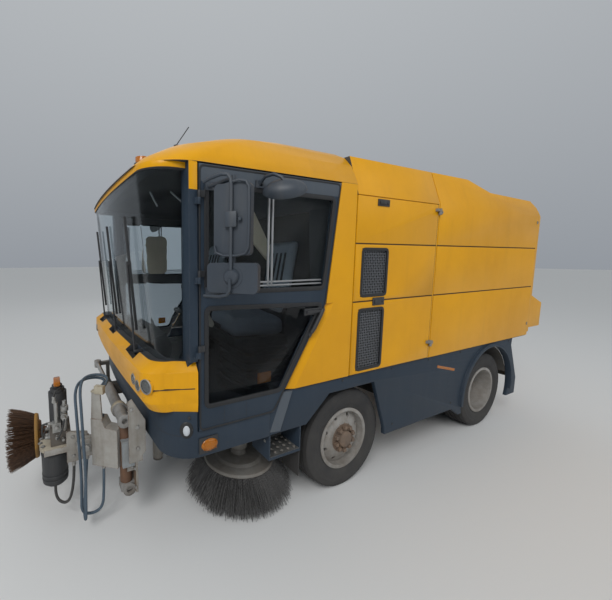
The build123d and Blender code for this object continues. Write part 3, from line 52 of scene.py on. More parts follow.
BODY_OF = {node: body for body, nodes in frame["record"]["behaviour"]["bodies"].items() for node in nodes}
SLOT_OF = {row["node"]: row["material_slot"] for row in frame["record"]["subparts"]}
SIDES = ((1, "left"), (-1, "right"))
Z_AXIS = Vector((0, 0, 1))
# y = 0 is the middle of the whole length, from the front brush's tips, 2.260 m ahead of the front axle, to the tail,
# 3.050 m behind it
AXLE_Y = -0.5 * (3.050 - (2.255 + 0.015 * 65 / math.hypot(65, 180)))


def at(x, y, z):
    """A place given from the front axle, in metres, turned into the frame's own place."""
    return Vector((x, y + AXLE_Y, z))


# the axles: the rear one's distance behind the front one, and the height of both, which is the tyres' radius
REAR_Y = 2.006
TYRE_R = 0.3835


# %% [markdown]
# ## Shader groups
# Weathering looks alike on every painted piece, so each effect is made once as a node group with named
# inputs. A group gives out a mask or a height only. The shader itself stays in the material, so the
# same effect can drive a colour in one place and a roughness in another.

# %% Shader group helpers
def shader_group(name, inputs, outputs):
    tree = bpy.data.node_groups.new(name, "ShaderNodeTree")
    for label, value in inputs:
        socket = tree.interface.new_socket(label, in_out="INPUT", socket_type="NodeSocketFloat")
        socket.default_value = value
    for label in outputs:
        tree.interface.new_socket(label, in_out="OUTPUT", socket_type="NodeSocketFloat")
    return tree, tree.nodes.new("NodeGroupInput"), tree.nodes.new("NodeGroupOutput")


def add_node(tree, kind, links=(), **settings):
    """A node with its settings; links are (input name or index, socket or value)."""
    node = tree.nodes.new(kind)
    for key, value in settings.items():
        setattr(node, key, value)
    for key, value in links:
        if isinstance(value, bpy.types.NodeSocket):
            tree.links.new(value, node.inputs[key])
        else:
            node.inputs[key].default_value = value
    return node


def ramp(tree, value, low, high, out_low=0.0, out_high=1.0):
    node = add_node(tree, "ShaderNodeMapRange", [("Value", value), ("From Min", low), ("From Max", high),
                                                 ("To Min", out_low), ("To Max", out_high)])
    return node.outputs["Result"]


def maths(tree, operation, first, second=0.5):
    node = add_node(tree, "ShaderNodeMath", [(0, first), (1, second)], operation=operation)
    return node.outputs[0]


def use_group(tree, which, values, output):
    node = add_node(tree, "ShaderNodeGroup", node_tree=which)
    for socket, value in zip(node.inputs, values):
        socket.default_value = value
    return node.outputs[output]


def blend(tree, first, second, factor):
    """Two colours mixed; each is a socket or three numbers."""
    colours = [value if isinstance(value, bpy.types.NodeSocket) else (*value, 1.0) for value in (first, second)]
    return add_node(tree, "ShaderNodeMix", [("Factor", factor), (6, colours[0]), (7, colours[1])],
                    data_type="RGBA").outputs[2]


MATERIALS = {}


def new_material(name):
    """A new material, kept under its name: its node tree and its shader."""
    material = bpy.data.materials.new(name)
    material.use_nodes = True
    MATERIALS[name] = material
    return material.node_tree, material.node_tree.nodes["Principled BSDF"]


# %% Grime: dust that gathers low down and in soft patches
grime, g_in, g_out = shader_group("Gathered Grime", [("Scale", 3.0), ("Amount", 0.5), ("Low", 0.2), ("High", 1.2)],
                                  ["Mask"])
place = add_node(grime, "ShaderNodeTexCoord").outputs["Object"]
height = add_node(grime, "ShaderNodeSeparateXYZ", [(0, place)]).outputs["Z"]
patches = add_node(grime, "ShaderNodeTexNoise", [("Vector", place), ("Scale", g_in.outputs["Scale"]), ("Detail", 8.0),
                                                 ("Roughness", 0.65)]).outputs["Fac"]
low_down = add_node(grime, "ShaderNodeMapRange", [("Value", height), ("From Min", g_in.outputs["Low"]),
                                                  ("From Max", g_in.outputs["High"]), ("To Min", 1.0),
                                                  ("To Max", 0.12)])
soft = ramp(grime, patches, 0.38, 0.72)
mask = maths(grime, "MULTIPLY", maths(grime, "ADD", soft, low_down.outputs["Result"]), g_in.outputs["Amount"])
grime.links.new(add_node(grime, "ShaderNodeClamp", [("Value", mask)]).outputs[0], g_out.inputs["Mask"])

# %% Streaks: what rain washes down upright panels
streaks, s_in, s_out = shader_group("Rain Streaks", [("Scale", 9.0), ("Amount", 0.5)], ["Mask"])
place = add_node(streaks, "ShaderNodeTexCoord").outputs["Object"]
drawn = add_node(streaks, "ShaderNodeMapping", [("Vector", place), ("Scale", (1.0, 1.0, 0.06))]).outputs[0]
lines = add_node(streaks, "ShaderNodeTexNoise", [("Vector", drawn), ("Scale", s_in.outputs["Scale"]), ("Detail", 6.0),
                                                 ("Roughness", 0.7)]).outputs["Fac"]
mask = maths(streaks, "MULTIPLY", ramp(streaks, lines, 0.5, 0.8), s_in.outputs["Amount"])
streaks.links.new(mask, s_out.inputs["Mask"])

# %% Chips: bare specks where stones hit, and wear along the edges
chips, c_in, c_out = shader_group("Chips And Edge Wear", [("Scale", 30.0), ("Specks", 0.5), ("Edges", 0.5),
                                                          ("Width", 0.006)], ["Mask"])
place = add_node(chips, "ShaderNodeTexCoord").outputs["Object"]
rough_place = add_node(chips, "ShaderNodeTexNoise", [("Vector", place), ("Scale", c_in.outputs["Scale"]),
                                                     ("Detail", 5.0), ("Roughness", 0.75)]).outputs["Fac"]
round_edge = add_node(chips, "ShaderNodeBevel", [("Radius", c_in.outputs["Width"])], samples=3).outputs["Normal"]
true_face = add_node(chips, "ShaderNodeNewGeometry").outputs["Normal"]
agree = add_node(chips, "ShaderNodeVectorMath", [(0, round_edge), (1, true_face)],
                 operation="DOT_PRODUCT").outputs["Value"]
edge = ramp(chips, agree, 0.995, 0.86)
worn = maths(chips, "MULTIPLY", edge, ramp(chips, rough_place, 0.42, 0.6))
worn = maths(chips, "MULTIPLY", worn, c_in.outputs["Edges"])
limit = maths(chips, "SUBTRACT", 0.86, maths(chips, "MULTIPLY", c_in.outputs["Specks"], 0.16))
specks = maths(chips, "GREATER_THAN", rough_place, limit)
chips.links.new(add_node(chips, "ShaderNodeClamp", [("Value", maths(chips, "ADD", worn, specks))]).outputs[0],
                c_out.inputs["Mask"])

# %% Grain: the small unevenness of a surface, as a height
grain, r_in, r_out = shader_group("Surface Grain", [("Scale", 200.0), ("Waves", 3.0)], ["Height"])
place = add_node(grain, "ShaderNodeTexCoord").outputs["Object"]
fine = add_node(grain, "ShaderNodeTexNoise", [("Vector", place), ("Scale", r_in.outputs["Scale"]), ("Detail", 4.0)])
wide = add_node(grain, "ShaderNodeTexNoise", [("Vector", place), ("Scale", r_in.outputs["Waves"]), ("Detail", 2.0)])
grain.links.new(maths(grain, "ADD", fine.outputs["Fac"], maths(grain, "MULTIPLY", wide.outputs["Fac"], 1.5)),
                r_out.inputs["Height"])
print("shader groups:", [g.name for g in bpy.data.node_groups])


# %% [markdown]
# ## Materials
# A painted panel is a base colour with sun-faded patches, then rain streaks, then grime near the ground,
# then chips that bare the primer. All of this machine's opaque finishes are that same stack with other
# values, so one function builds them and the differences sit in a short table.

# %% The stack of one opaque finish
def finish_material(name, base, faded, dirt, bare, rough=(0.3, 0.6), metallic=0.0, grime_at=(2.5, 0.4, 0.1, 1.2),
                    streak=(9.0, 0.35), chip=(30.0, 0.3, 0.6, 0.006), bump=(220.0, 2.0, 0.25, 0.002), coat=0.0,
                    specular=0.5):
    tree, shader = new_material(name)
    place = add_node(tree, "ShaderNodeTexCoord").outputs["Object"]
    patches = add_node(tree, "ShaderNodeTexNoise", [("Vector", place), ("Scale", 1.6), ("Detail", 7.0),
                                                    ("Roughness", 0.6)]).outputs["Fac"]
    wet = use_group(tree, streaks, streak, "Mask")
    dusty = use_group(tree, grime, grime_at, "Mask")
    bared = use_group(tree, chips, chip, "Mask")
    colour = blend(tree, base, faded, ramp(tree, patches, 0.35, 0.7))
    for layer, mask in ((dirt, wet), (dirt, dusty), (bare, bared)):
        colour = blend(tree, colour, layer, mask)
    tree.links.new(colour, shader.inputs["Base Color"])
    dull = maths(tree, "ADD", ramp(tree, patches, 0.3, 0.75, rough[0], rough[1]), maths(tree, "MULTIPLY", dusty, 0.3))
    tree.links.new(add_node(tree, "ShaderNodeClamp", [("Value", dull)]).outputs[0], shader.inputs["Roughness"])
    shader.inputs["Metallic"].default_value = metallic
    shader.inputs["Coat Weight"].default_value = coat
    shader.inputs["Specular IOR Level"].default_value = specular
    relief = maths(tree, "SUBTRACT", use_group(tree, grain, bump[:2], "Height"), maths(tree, "MULTIPLY", bared, 1.2))
    bumped = add_node(tree, "ShaderNodeBump", [("Strength", bump[2]), ("Distance", bump[3]), ("Height", relief)])
    tree.links.new(bumped.outputs["Normal"], shader.inputs["Normal"])


# %% The table of opaque finishes
DUST = (0.16, 0.145, 0.125)
RUST = (0.13, 0.055, 0.025)
OPAQUE = {
    "sweeper_yellow": dict(base=(0.80, 0.375, 0.0010), faded=(0.72, 0.33, 0.002), dirt=(0.33, 0.16, 0.02),
                           bare=(0.20, 0.12, 0.06), rough=(0.28, 0.45), grime_at=(2.2, 0.10, 0.5, 1.6),
                           streak=(7.0, 0.16), chip=(34.0, 0.12, 0.35, 0.005), bump=(260.0, 2.5, 0.12, 0.002),
                           specular=0.28),
    # dark brown for the pressed seams: painted shade in the grooves
    "seam_brown": dict(base=(0.085, 0.040, 0.010), faded=(0.12, 0.055, 0.014), dirt=(0.06, 0.045, 0.03),
                       bare=(0.05, 0.03, 0.02), rough=(0.6, 0.9), chip=(30.0, 0.1, 0.2, 0.004)),
    # a paler slate: a painted highlight on the door's band under the roof, the rear arch lips and the skirt folds;
    # its chips and grime are wear
    "slate_worn": dict(base=(0.045, 0.060, 0.080), faded=(0.075, 0.092, 0.115), dirt=(0.10, 0.11, 0.115),
                       bare=(0.15, 0.15, 0.15), rough=(0.5, 0.7), grime_at=(6.0, 0.3, 0.1, 1.3),
                       chip=(30.0, 0.3, 0.5, 0.006)),
    "slate_paint": dict(base=(0.014, 0.027, 0.045), faded=(0.023, 0.039, 0.061), dirt=(0.060, 0.070, 0.083),
                        bare=(0.13, 0.14, 0.15), rough=(0.42, 0.62), grime_at=(3.0, 0.16, 0.2, 1.3),
                        streak=(9.0, 0.2), chip=(30.0, 0.25, 0.5, 0.006), specular=0.3),
    "worn_grey_steel": dict(base=(0.24, 0.24, 0.225), faded=(0.34, 0.335, 0.31), dirt=(0.12, 0.10, 0.08), bare=RUST,
                            rough=(0.5, 0.8), grime_at=(7.0, 0.45, 0.1, 1.1), streak=(16.0, 0.45),
                            chip=(22.0, 0.9, 0.9, 0.008), bump=(160.0, 6.0, 0.4, 0.003)),
    "rusty_iron": dict(base=(0.16, 0.085, 0.05), faded=(0.26, 0.12, 0.055), dirt=(0.07, 0.05, 0.04),
                       bare=(0.32, 0.15, 0.06), rough=(0.7, 0.95), grime_at=(9.0, 0.4, 0.0, 1.0),
                       chip=(40.0, 0.9, 0.5, 0.006), bump=(120.0, 10.0, 0.6, 0.004)),
    "chassis_paint": dict(base=(0.022, 0.022, 0.024), faded=(0.05, 0.05, 0.05), dirt=(0.11, 0.10, 0.085), bare=RUST,
                          rough=(0.55, 0.85), grime_at=(4.0, 0.55, 0.2, 1.0), chip=(26.0, 0.5, 0.6, 0.006)),
    "cast_iron": dict(base=(0.09, 0.09, 0.09), faded=(0.14, 0.13, 0.12), dirt=(0.10, 0.08, 0.06), bare=RUST,
                      rough=(0.6, 0.9), grime_at=(6.0, 0.5, 0.2, 1.0), bump=(90.0, 8.0, 0.5, 0.003)),
    "wheel_silver": dict(base=(0.46, 0.455, 0.44), faded=(0.36, 0.35, 0.33), dirt=(0.17, 0.14, 0.11),
                         bare=(0.30, 0.27, 0.24), rough=(0.35, 0.6), metallic=0.35, grime_at=(11.0, 0.42, 0.1, 1.0),
                         streak=(20.0, 0.35), chip=(38.0, 0.6, 0.8, 0.005)),
    "rusty_hub": dict(base=(0.20, 0.155, 0.12), faded=(0.30, 0.19, 0.12), dirt=(0.12, 0.10, 0.085),
                      bare=(0.30, 0.17, 0.10), rough=(0.6, 0.9), metallic=0.2, grime_at=(12.0, 0.45, 0.1, 1.0),
                      chip=(50.0, 0.8, 0.6, 0.004)),
    "tyre_rubber": dict(base=(0.016, 0.016, 0.018), faded=(0.027, 0.027, 0.028), dirt=(0.11, 0.102, 0.09),
                        bare=(0.06, 0.055, 0.05), rough=(0.7, 0.92), grime_at=(6.0, 0.22, 0.0, 0.75),
                        streak=(12.0, 0.1), chip=(30.0, 0.2, 0.3, 0.004), bump=(180.0, 10.0, 0.4, 0.002)),
    "black_rubber": dict(base=(0.012, 0.012, 0.013), faded=(0.025, 0.025, 0.026), dirt=(0.10, 0.09, 0.08),
                         bare=(0.05, 0.05, 0.05), rough=(0.5, 0.75), grime_at=(5.0, 0.18, 0.1, 1.0),
                         chip=(30.0, 0.1, 0.3, 0.004)),
    "black_plastic": dict(base=(0.014, 0.015, 0.018), faded=(0.03, 0.032, 0.036), dirt=(0.10, 0.095, 0.085),
                          bare=(0.07, 0.07, 0.07), rough=(0.42, 0.62), grime_at=(4.0, 0.12, 0.2, 1.4),
                          chip=(34.0, 0.1, 0.4, 0.004), bump=(420.0, 3.0, 0.3, 0.001)),
    "interior_grey": dict(base=(0.055, 0.057, 0.062), faded=(0.085, 0.087, 0.092), dirt=(0.12, 0.11, 0.10),
                          bare=(0.12, 0.12, 0.12), rough=(0.6, 0.8), grime_at=(4.0, 0.12, 0.6, 1.4),
                          chip=(30.0, 0.1, 0.2, 0.004), bump=(380.0, 3.0, 0.3, 0.001)),
    "cream_paint": dict(base=(0.46, 0.42, 0.31), faded=(0.55, 0.50, 0.40), dirt=(0.20, 0.16, 0.11), bare=RUST,
                        rough=(0.45, 0.7), grime_at=(9.0, 0.4, 0.1, 1.0), chip=(26.0, 0.8, 0.9, 0.006)),
    "bright_steel": dict(base=(0.55, 0.55, 0.54), faded=(0.42, 0.42, 0.40), dirt=(0.18, 0.15, 0.12),
                         bare=(0.2, 0.12, 0.08), rough=(0.22, 0.45), metallic=0.85, grime_at=(12.0, 0.3, 0.1, 1.0),
                         chip=(50.0, 0.3, 0.3, 0.003)),
    "louvre_black": dict(base=(0.006, 0.007, 0.009), faded=(0.013, 0.014, 0.017), dirt=(0.05, 0.048, 0.045),
                         bare=(0.10, 0.10, 0.10), rough=(0.45, 0.7), grime_at=(8.0, 0.14, 0.4, 1.5),
                         chip=(40.0, 0.2, 0.4, 0.003)),
    "rust_patched": dict(base=(0.19, 0.155, 0.115), faded=(0.24, 0.225, 0.20), dirt=(0.12, 0.07, 0.035),
                         bare=(0.34, 0.17, 0.06), rough=(0.6, 0.9), grime_at=(14.0, 0.7, 0.0, 1.0),
                         streak=(24.0, 0.5), chip=(34.0, 1.0, 0.7, 0.012), bump=(140.0, 10.0, 0.5, 0.003)),
    "box_grey": dict(base=(0.30, 0.335, 0.36), faded=(0.36, 0.39, 0.41), dirt=(0.15, 0.14, 0.12),
                     bare=(0.18, 0.15, 0.12), rough=(0.5, 0.7), grime_at=(12.0, 0.4, 0.1, 1.0),
                     chip=(40.0, 0.4, 0.5, 0.004)),
    "hose_black": dict(base=(0.011, 0.012, 0.014), faded=(0.028, 0.03, 0.033), dirt=(0.11, 0.10, 0.085),
                       bare=(0.06, 0.06, 0.06), rough=(0.45, 0.7), grime_at=(10.0, 0.25, 0.0, 0.8),
                       chip=(60.0, 0.2, 0.1, 0.003)),
}
for name, values in OPAQUE.items():
    finish_material(name, **values)
print("opaque finishes:", len(OPAQUE))


# %% [markdown]
# ## Glass, lenses, fabric, hose sleeve and bristle
# These need other shaders, and two functions make them. Glass is thin and slightly tinted, with dust that
# dulls it; a lens is tinted plastic. Fabric, sleeve and bristle show their threads as bands of light and dark.

# %% Clear and tinted materials
def clear_material(name, tint, rough, dust, ior=1.45, through=1.0):
    tree, shader = new_material(name)
    shader.inputs["Transmission Weight"].default_value = through
    shader.inputs["IOR"].default_value = ior
    dusty = use_group(tree, grime, (1.8, dust, 0.9, 2.2), "Mask")
    darker = [0.72 * value for value in tint]
    tree.links.new(blend(tree, tint, darker, dusty), shader.inputs["Base Color"])
    tree.links.new(ramp(tree, dusty, 0.0, 1.0, rough, rough + 0.25), shader.inputs["Roughness"])


clear_material("window_glass", (0.80, 0.86, 0.88), 0.0, 0.12, ior=1.15)
clear_material("amber_lens", (0.62, 0.20, 0.012), 0.12, 0.2, through=0.35)
clear_material("clear_lens", (0.88, 0.90, 0.90), 0.04, 0.2, through=0.85)
clear_material("lamp_face", (0.46, 0.48, 0.47), 0.06, 0.35, through=0.85)
clear_material("red_lens", (0.75, 0.03, 0.02), 0.12, 0.2, through=0.3)


# %% Woven and drawn materials
def patterned_material(name, base, light, rough, wave_scale, direction, sheen=0.0, height=0.0006):
    """Two crossed bands give a weave, one alone gives drawn threads; a noise breaks them up."""
    tree, shader = new_material(name)
    place = add_node(tree, "ShaderNodeTexCoord").outputs["Object"]
    bands = [add_node(tree, "ShaderNodeTexWave", [("Vector", place), ("Scale", wave_scale), ("Distortion", 1.2)],
                      bands_direction=axis).outputs["Fac"] for axis in direction]
    weave = bands[0] if len(bands) == 1 else maths(tree, "MULTIPLY", bands[0], bands[1])
    cloud = add_node(tree, "ShaderNodeTexNoise", [("Vector", place), ("Scale", 9.0), ("Detail", 6.0)]).outputs["Fac"]
    factor = maths(tree, "MULTIPLY", maths(tree, "ADD", weave, cloud), 0.55)
    tree.links.new(blend(tree, base, light, factor), shader.inputs["Base Color"])
    tree.links.new(ramp(tree, cloud, 0.3, 0.7, rough, min(rough + 0.12, 1.0)), shader.inputs["Roughness"])
    shader.inputs["Sheen Weight"].default_value = sheen
    bumped = add_node(tree, "ShaderNodeBump", [("Strength", 0.5), ("Distance", height), ("Height", weave)])
    tree.links.new(bumped.outputs["Normal"], shader.inputs["Normal"])


patterned_material("seat_fabric", (0.045, 0.047, 0.052), (0.11, 0.115, 0.125), 0.85, 140.0,
                   ("Y", "Z"), sheen=0.3)
patterned_material("hose_sleeve", (0.026, 0.043, 0.062), (0.13, 0.175, 0.22), 0.8, 55.0, ("Z", "DIAGONAL"))
patterned_material("bristle_grey", (0.017, 0.017, 0.018), (0.15, 0.145, 0.14), 0.6, 30.0, ("X",))
patterned_material("bristle_brown", (0.024, 0.012, 0.007), (0.12, 0.058, 0.026), 0.6, 30.0, ("X",))
print("materials in all:", len(MATERIALS))

# %% [markdown]
# ## From a CAD solid to a finished panel
# A CAD solid arrives as loose triangles with knife-sharp corners. Real sheet metal and plastic have a small
# radius on each edge, which catches the light. So most nodes are copied, merged into clean faces and given a
# narrow bevel, and the copy then stands for the node.

# %% Mesh helpers
def new_object(name, data):
    item = bpy.data.objects.new(name, data)
    bpy.context.scene.collection.objects.link(item)
    return item


def mesh_from(bm, name):
    """The bmesh as a mesh; the bmesh is freed."""
    mesh = bpy.data.meshes.new(name)
    bm.to_mesh(mesh)
    bm.free()
    return mesh


def piece_from(name, bm, material, body, slot_name, replaced=(), smooth=None):
    """A finished piece: its mesh, its material, the body it rides on and what it stands for."""
    return finish_piece(new_object(name, mesh_from(bm, name)), material, body, slot_name, replaced, smooth)


def solid_piece(name, bm, *what, **how):
    """A piece whose faces are first joined and turned outwards."""
    outward(bm)
    return piece_from(name, bm, *what, **how)


def finish_piece(piece, material, body, slot_name, replaced=(), smooth=None):
    if material is not None:
        piece.data.materials.clear()
        for item in (material if isinstance(material, (list, tuple)) else [material]):
            piece.data.materials.append(MATERIALS[item])
    if smooth is not None:
        piece.data.polygons.foreach_set("use_smooth", [True] * len(piece.data.polygons))
        piece.data.set_sharp_from_angle(angle=math.radians(smooth))
    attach(piece, body)
    if replaced:
        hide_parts(*replaced)
    return piece


def frozen(piece):
    """The piece with its modifiers worked out into its mesh."""
    graph = bpy.context.evaluated_depsgraph_get()
    mesh = bpy.data.meshes.new_from_object(piece.evaluated_get(graph))
    piece.modifiers.clear()
    piece.data = mesh
    return piece


def clean_copy(node):
    """A node's mesh, merged into clean faces."""
    bm = bmesh.new()
    bm.from_mesh(NODES[node].data)
    bmesh.ops.remove_doubles(bm, verts=bm.verts, dist=0.00002)
    bmesh.ops.dissolve_limit(bm, angle_limit=math.radians(0.6), verts=bm.verts, edges=bm.edges)
    return bm


def cut(bm, place, across=Z_AXIS):
    """New edges where a plane crosses the mesh, so that a finish can end there."""
    bmesh.ops.bisect_plane(bm, geom=bm.verts[:] + bm.edges[:] + bm.faces[:], plane_co=place, plane_no=across)


def dress(node, material, bevel=0.002, segments=2, pick=None, crease=32, bm=None, axle=None, name=None):
    """The node's copy with rounded edges; pick(place, normal) may give a face another material.

    On a wheel a ring's middle lies in its hole, so there the corner furthest from the axle is asked about.
    """
    name = name or node + "_finish"
    mesh = mesh_from(bm or clean_copy(node), name)
    piece = new_object(name, mesh)
    for item in (material if isinstance(material, (list, tuple)) else [material]):
        mesh.materials.append(MATERIALS[item])
    if pick:
        for face in mesh.polygons:
            spot = face.center
            if axle:
                corners = [mesh.vertices[i].co for i in face.vertices]
                spot = max(corners, key=lambda co: math.hypot(co.y - axle.y, co.z - axle.z))
            face.material_index = pick(spot, face.normal)
    mesh.polygons.foreach_set("use_smooth", [True] * len(mesh.polygons))
    modifier = piece.modifiers.new("edges", "BEVEL")
    modifier.width = bevel
    modifier.segments = segments
    modifier.limit_method = "ANGLE"
    modifier.angle_limit = math.radians(crease)
    modifier.harden_normals = True
    frozen(piece)
    return finish_piece(piece, None, BODY_OF[node], SLOT_OF[node], [node])


def round_the(side, across, share):
    """The direction at a share of a full turn, from side towards across."""
    return side * math.cos(math.tau * share) + across * math.sin(math.tau * share)


def tube_along(bm, points, radius, sides=12):
    """A round tube through points, into a bmesh, without twist."""
    last = len(points) - 1
    ahead = [(points[min(i + 1, last)] - points[max(i - 1, 0)]).normalized() for i in range(last + 1)]
    side = ahead[0].orthogonal().normalized()
    rings = []
    for point, forward in zip(points, ahead):
        side = (side - forward * side.dot(forward)).normalized()
        across = forward.cross(side)
        rings.append([bm.verts.new(point + round_the(side, across, k / sides) * radius) for k in range(sides)])
    for near, far in zip(rings, rings[1:]):
        for k in range(sides):
            bm.faces.new((near[k], near[(k + 1) % sides], far[(k + 1) % sides], far[k]))
    bm.faces.new(list(reversed(rings[0])))
    bm.faces.new(rings[-1])


def turned(bm, profile, origin, axis, sides=48):
    """A profile of (along, radius) turned about an axis through the origin; its ends close on themselves."""
    axis = Vector(axis).normalized()
    side = axis.orthogonal().normalized()
    across = axis.cross(side)
    rings = []
    for along, radius in profile:
        if radius < 1e-6:
            rings.append([bm.verts.new(origin + axis * along)])
        else:
            rings.append([bm.verts.new(origin + axis * along + round_the(side, across, k / sides) * radius)
                          for k in range(sides)])
    for near, far in zip(rings, rings[1:]):
        for k in range(sides):
            m = (k + 1) % sides
            if len(near) == 1 and len(far) == 1:
                continue
            if len(near) == 1:
                bm.faces.new((near[0], far[m], far[k]))
            elif len(far) == 1:
                bm.faces.new((near[k], near[m], far[0]))
            else:
                bm.faces.new((near[k], near[m], far[m], far[k]))
    return rings


def box_into(bm, low, high, turn=None, round_by=0.0):
    """A box with softened edges, into a bmesh."""
    low, high = Vector(low), Vector(high)
    part = bmesh.new()
    bmesh.ops.create_cube(part, size=1.0)
    size = high - low
    for vert in part.verts:
        vert.co = Vector((vert.co.x * size.x, vert.co.y * size.y, vert.co.z * size.z))
    if round_by:
        bmesh.ops.bevel(part, geom=part.edges[:], offset=round_by, segments=2, profile=0.5, affect="EDGES")
    middle = (low + high) / 2
    matrix = Matrix.Translation(middle) @ (turn.to_4x4() if turn else Matrix.Identity(4))
    bmesh.ops.transform(part, matrix=matrix, verts=part.verts)
    pour(part, bm)


def pour(part, bm):
    """Adds one bmesh to another."""
    spare = bpy.data.meshes.new("spare")
    part.to_mesh(spare)
    part.free()
    bm.from_mesh(spare)
    bpy.data.meshes.remove(spare)


def side_box(bm, sign, xs, ys, zs, **how):
    """A box from ranges given for the left side, or its mirror image where sign is -1."""
    x0, x1 = sorted(sign * x for x in xs)
    box_into(bm, at(x0, ys[0], zs[0]), at(x1, ys[1], zs[1]), **how)


def box_round(bm, middle, half, **how):
    half = Vector(half)
    box_into(bm, middle - half, middle + half, **how)


def knob(bm, place, axis, radius, straight, height, tip, sides=16):
    """A round knob whose end narrows to the tip's radius."""
    turned(bm, [(0.0, 0.0), (0.0, radius), (straight, radius), (height, tip), (height, 0.0)], place, axis,
           sides=sides)


def outward(bm):
    bmesh.ops.remove_doubles(bm, verts=bm.verts, dist=0.00001)
    bmesh.ops.recalc_face_normals(bm, faces=bm.faces)


def curve_on(name, route, steps):
    """A smooth curve on places given from the front axle."""
    curve = bpy.data.curves.new(name, "CURVE")
    curve.dimensions = "3D"
    curve.resolution_u = steps
    spline = curve.splines.new("NURBS")
    spline.points.add(len(route) - 1)
    for point, place in zip(spline.points, route):
        point.co = (*at(*place), 1.0)
    spline.order_u = 3
    spline.use_endpoint_u = True
    return new_object(name, curve)


def line_of(curve_object):
    """The points of a curve that has no bevel."""
    bpy.context.view_layer.update()
    mesh = bpy.data.meshes.new_from_object(curve_object.evaluated_get(bpy.context.evaluated_depsgraph_get()))
    line = [vert.co.copy() for vert in mesh.vertices]
    bpy.data.meshes.remove(mesh)
    return line


# %% Which faces look into the cab, the hopper or the engine bay
def inside_of(middle, half):
    """A face picker: 1 for a face that looks towards the middle of a room, else 0."""
    def pick(centre, normal):
        towards = middle - centre
        near = all(abs(towards[i]) < half[i] for i in range(3))
        return 1 if near and normal.dot(towards) > 0.02 else 0
    return pick


cab_room = inside_of(at(0.0, -0.75, 1.6), (1.045, 0.86, 1.0))
hopper_room = inside_of(at(0.0, 1.85, 1.6), (1.045, 0.95, 0.95))
in_bay = inside_of(at(0.0, 0.43, 1.6), (1.02, 0.47, 0.81))


def bay_room(centre, normal):
    """The engine bay's inside and the bulkhead behind the cab's rear window are dark."""
    if normal.y < -0.9 and centre.y < at(0, -0.04, 0).y:
        return 1
    return in_bay(centre, normal)


SEAMS_Z = (1.432, 1.839)
HATCH_HINGE_Y = 0.899
DOOR_BAND_Z = 2.135


def panel_room(room):
    """The room, and on the outside the pressed seams, darkened brown as painted shade (2), and the grey hinges behind
    the hatches (3).
    """
    def pick(centre, normal):
        if abs(centre.x) > 1.0515 and abs(centre.y - at(0, HATCH_HINGE_Y, 0).y) < 0.06:
            return 3
        if 1.040 < abs(centre.x) < 1.0496 and min(abs(centre.z - seam) for seam in SEAMS_Z) < 0.0054:
            return 2
        return room(centre, normal)
    return pick


def arch_lip(centre, normal):
    """The lip round the rear wheel's arch, which stands proud of the skirt; its paler slate is a painted highlight.
    """
    from_axle = centre - at(centre.x, REAR_Y, TYRE_R)
    return 1 if abs(centre.x) > 1.0515 and abs(from_axle.length - 0.487) < 0.022 else 0


def bumper_room(centre, normal):
    """The bumper's inside, and the three pockets that the wipers stand in."""
    if centre.z > 1.112 and normal.y > 0.5:
        return 1
    in_row = abs(centre.x) < 0.75 and at(0, -1.520, 0).y < centre.y < at(0, -1.400, 0).y and centre.z > 1.123
    if in_row and (abs(normal.x) > 0.8 or (normal.z > 0.5 and centre.z < 1.130)):
        return 1
    return cab_room(centre, normal)


def door_room(centre, normal):
    return 1 if normal.x * centre.x < -0.5 * abs(centre.x) else 0


def door_leaf(centre, normal):
    """Outside (0), inside (1), the handle that stands proud of the leaf (2), and the band under the roof, a paler
    slate as a painted highlight (3).
    """
    if abs(centre.x) > 1.0495:
        return 2
    return 3 if centre.z > DOOR_BAND_Z and normal.x * centre.x > 0.3 * abs(centre.x) else door_room(centre, normal)


# %% Dress the plain panels
CREASE = {"front_bumper": 6}
PLAIN = {
    # node: (finish, bevel, picker)
    "chassis_frame": ("chassis_paint", 0.003, None),
    "front_axle": ("cast_iron", 0.003, None),
    "rear_axle": ("cast_iron", 0.003, None),
    "engine_block": ("cast_iron", 0.008, None),
    "cab_roof": (("sweeper_yellow", "interior_grey"), 0.006, cab_room),
    "front_bumper": (("sweeper_yellow", "black_plastic"), 0.0015, bumper_room),
    "front_skirt": ("slate_paint", 0.004, None),
    "mid_shell": (("sweeper_yellow", "chassis_paint", "seam_brown", "worn_grey_steel"), 0.004, panel_room(bay_room)),
    "hopper_body": (("sweeper_yellow", "rusty_iron", "seam_brown", "worn_grey_steel"), 0.004,
                    panel_room(hopper_room)),
    "tailgate": ("sweeper_yellow", 0.004, None),
    "side_skirts": (("slate_paint", "slate_worn"), 0.003, arch_lip),
    "mudflaps": ("black_rubber", 0.0015, None),
    "suction_nozzle": ("worn_grey_steel", 0.002, None),
    "suction_duct": ("black_rubber", 0.001, None),
    "console": ("black_plastic", 0.004, None),
    "wipers": ("black_plastic", 0.0015, None),
}
for side in ("left", "right"):
    PLAIN[f"hatch_{side}"] = (("sweeper_yellow", "chassis_paint", "seam_brown", "worn_grey_steel"), 0.003,
                              panel_room(door_room))
    PLAIN[f"knuckle_{side}"] = ("cast_iron", 0.002, None)
    PLAIN[f"brush_arm_{side}"] = ("worn_grey_steel", 0.0025, None)
    PLAIN[f"brush_disc_{side}"] = ("worn_grey_steel", 0.002, None)
for node, (finish, bevel, picker) in PLAIN.items():
    dress(node, finish, bevel, pick=picker, crease=CREASE.get(node, 32))
for side in ("left", "right"):
    leaf = clean_copy(f"door_{side}")
    cut(leaf, at(0, 0, DOOR_BAND_Z))
    dress(f"door_{side}", ("slate_paint", "interior_grey", "black_plastic", "slate_worn"), 0.003, pick=door_leaf,
          bm=leaf)
print("dressed nodes:", len(PLAIN) + 2)


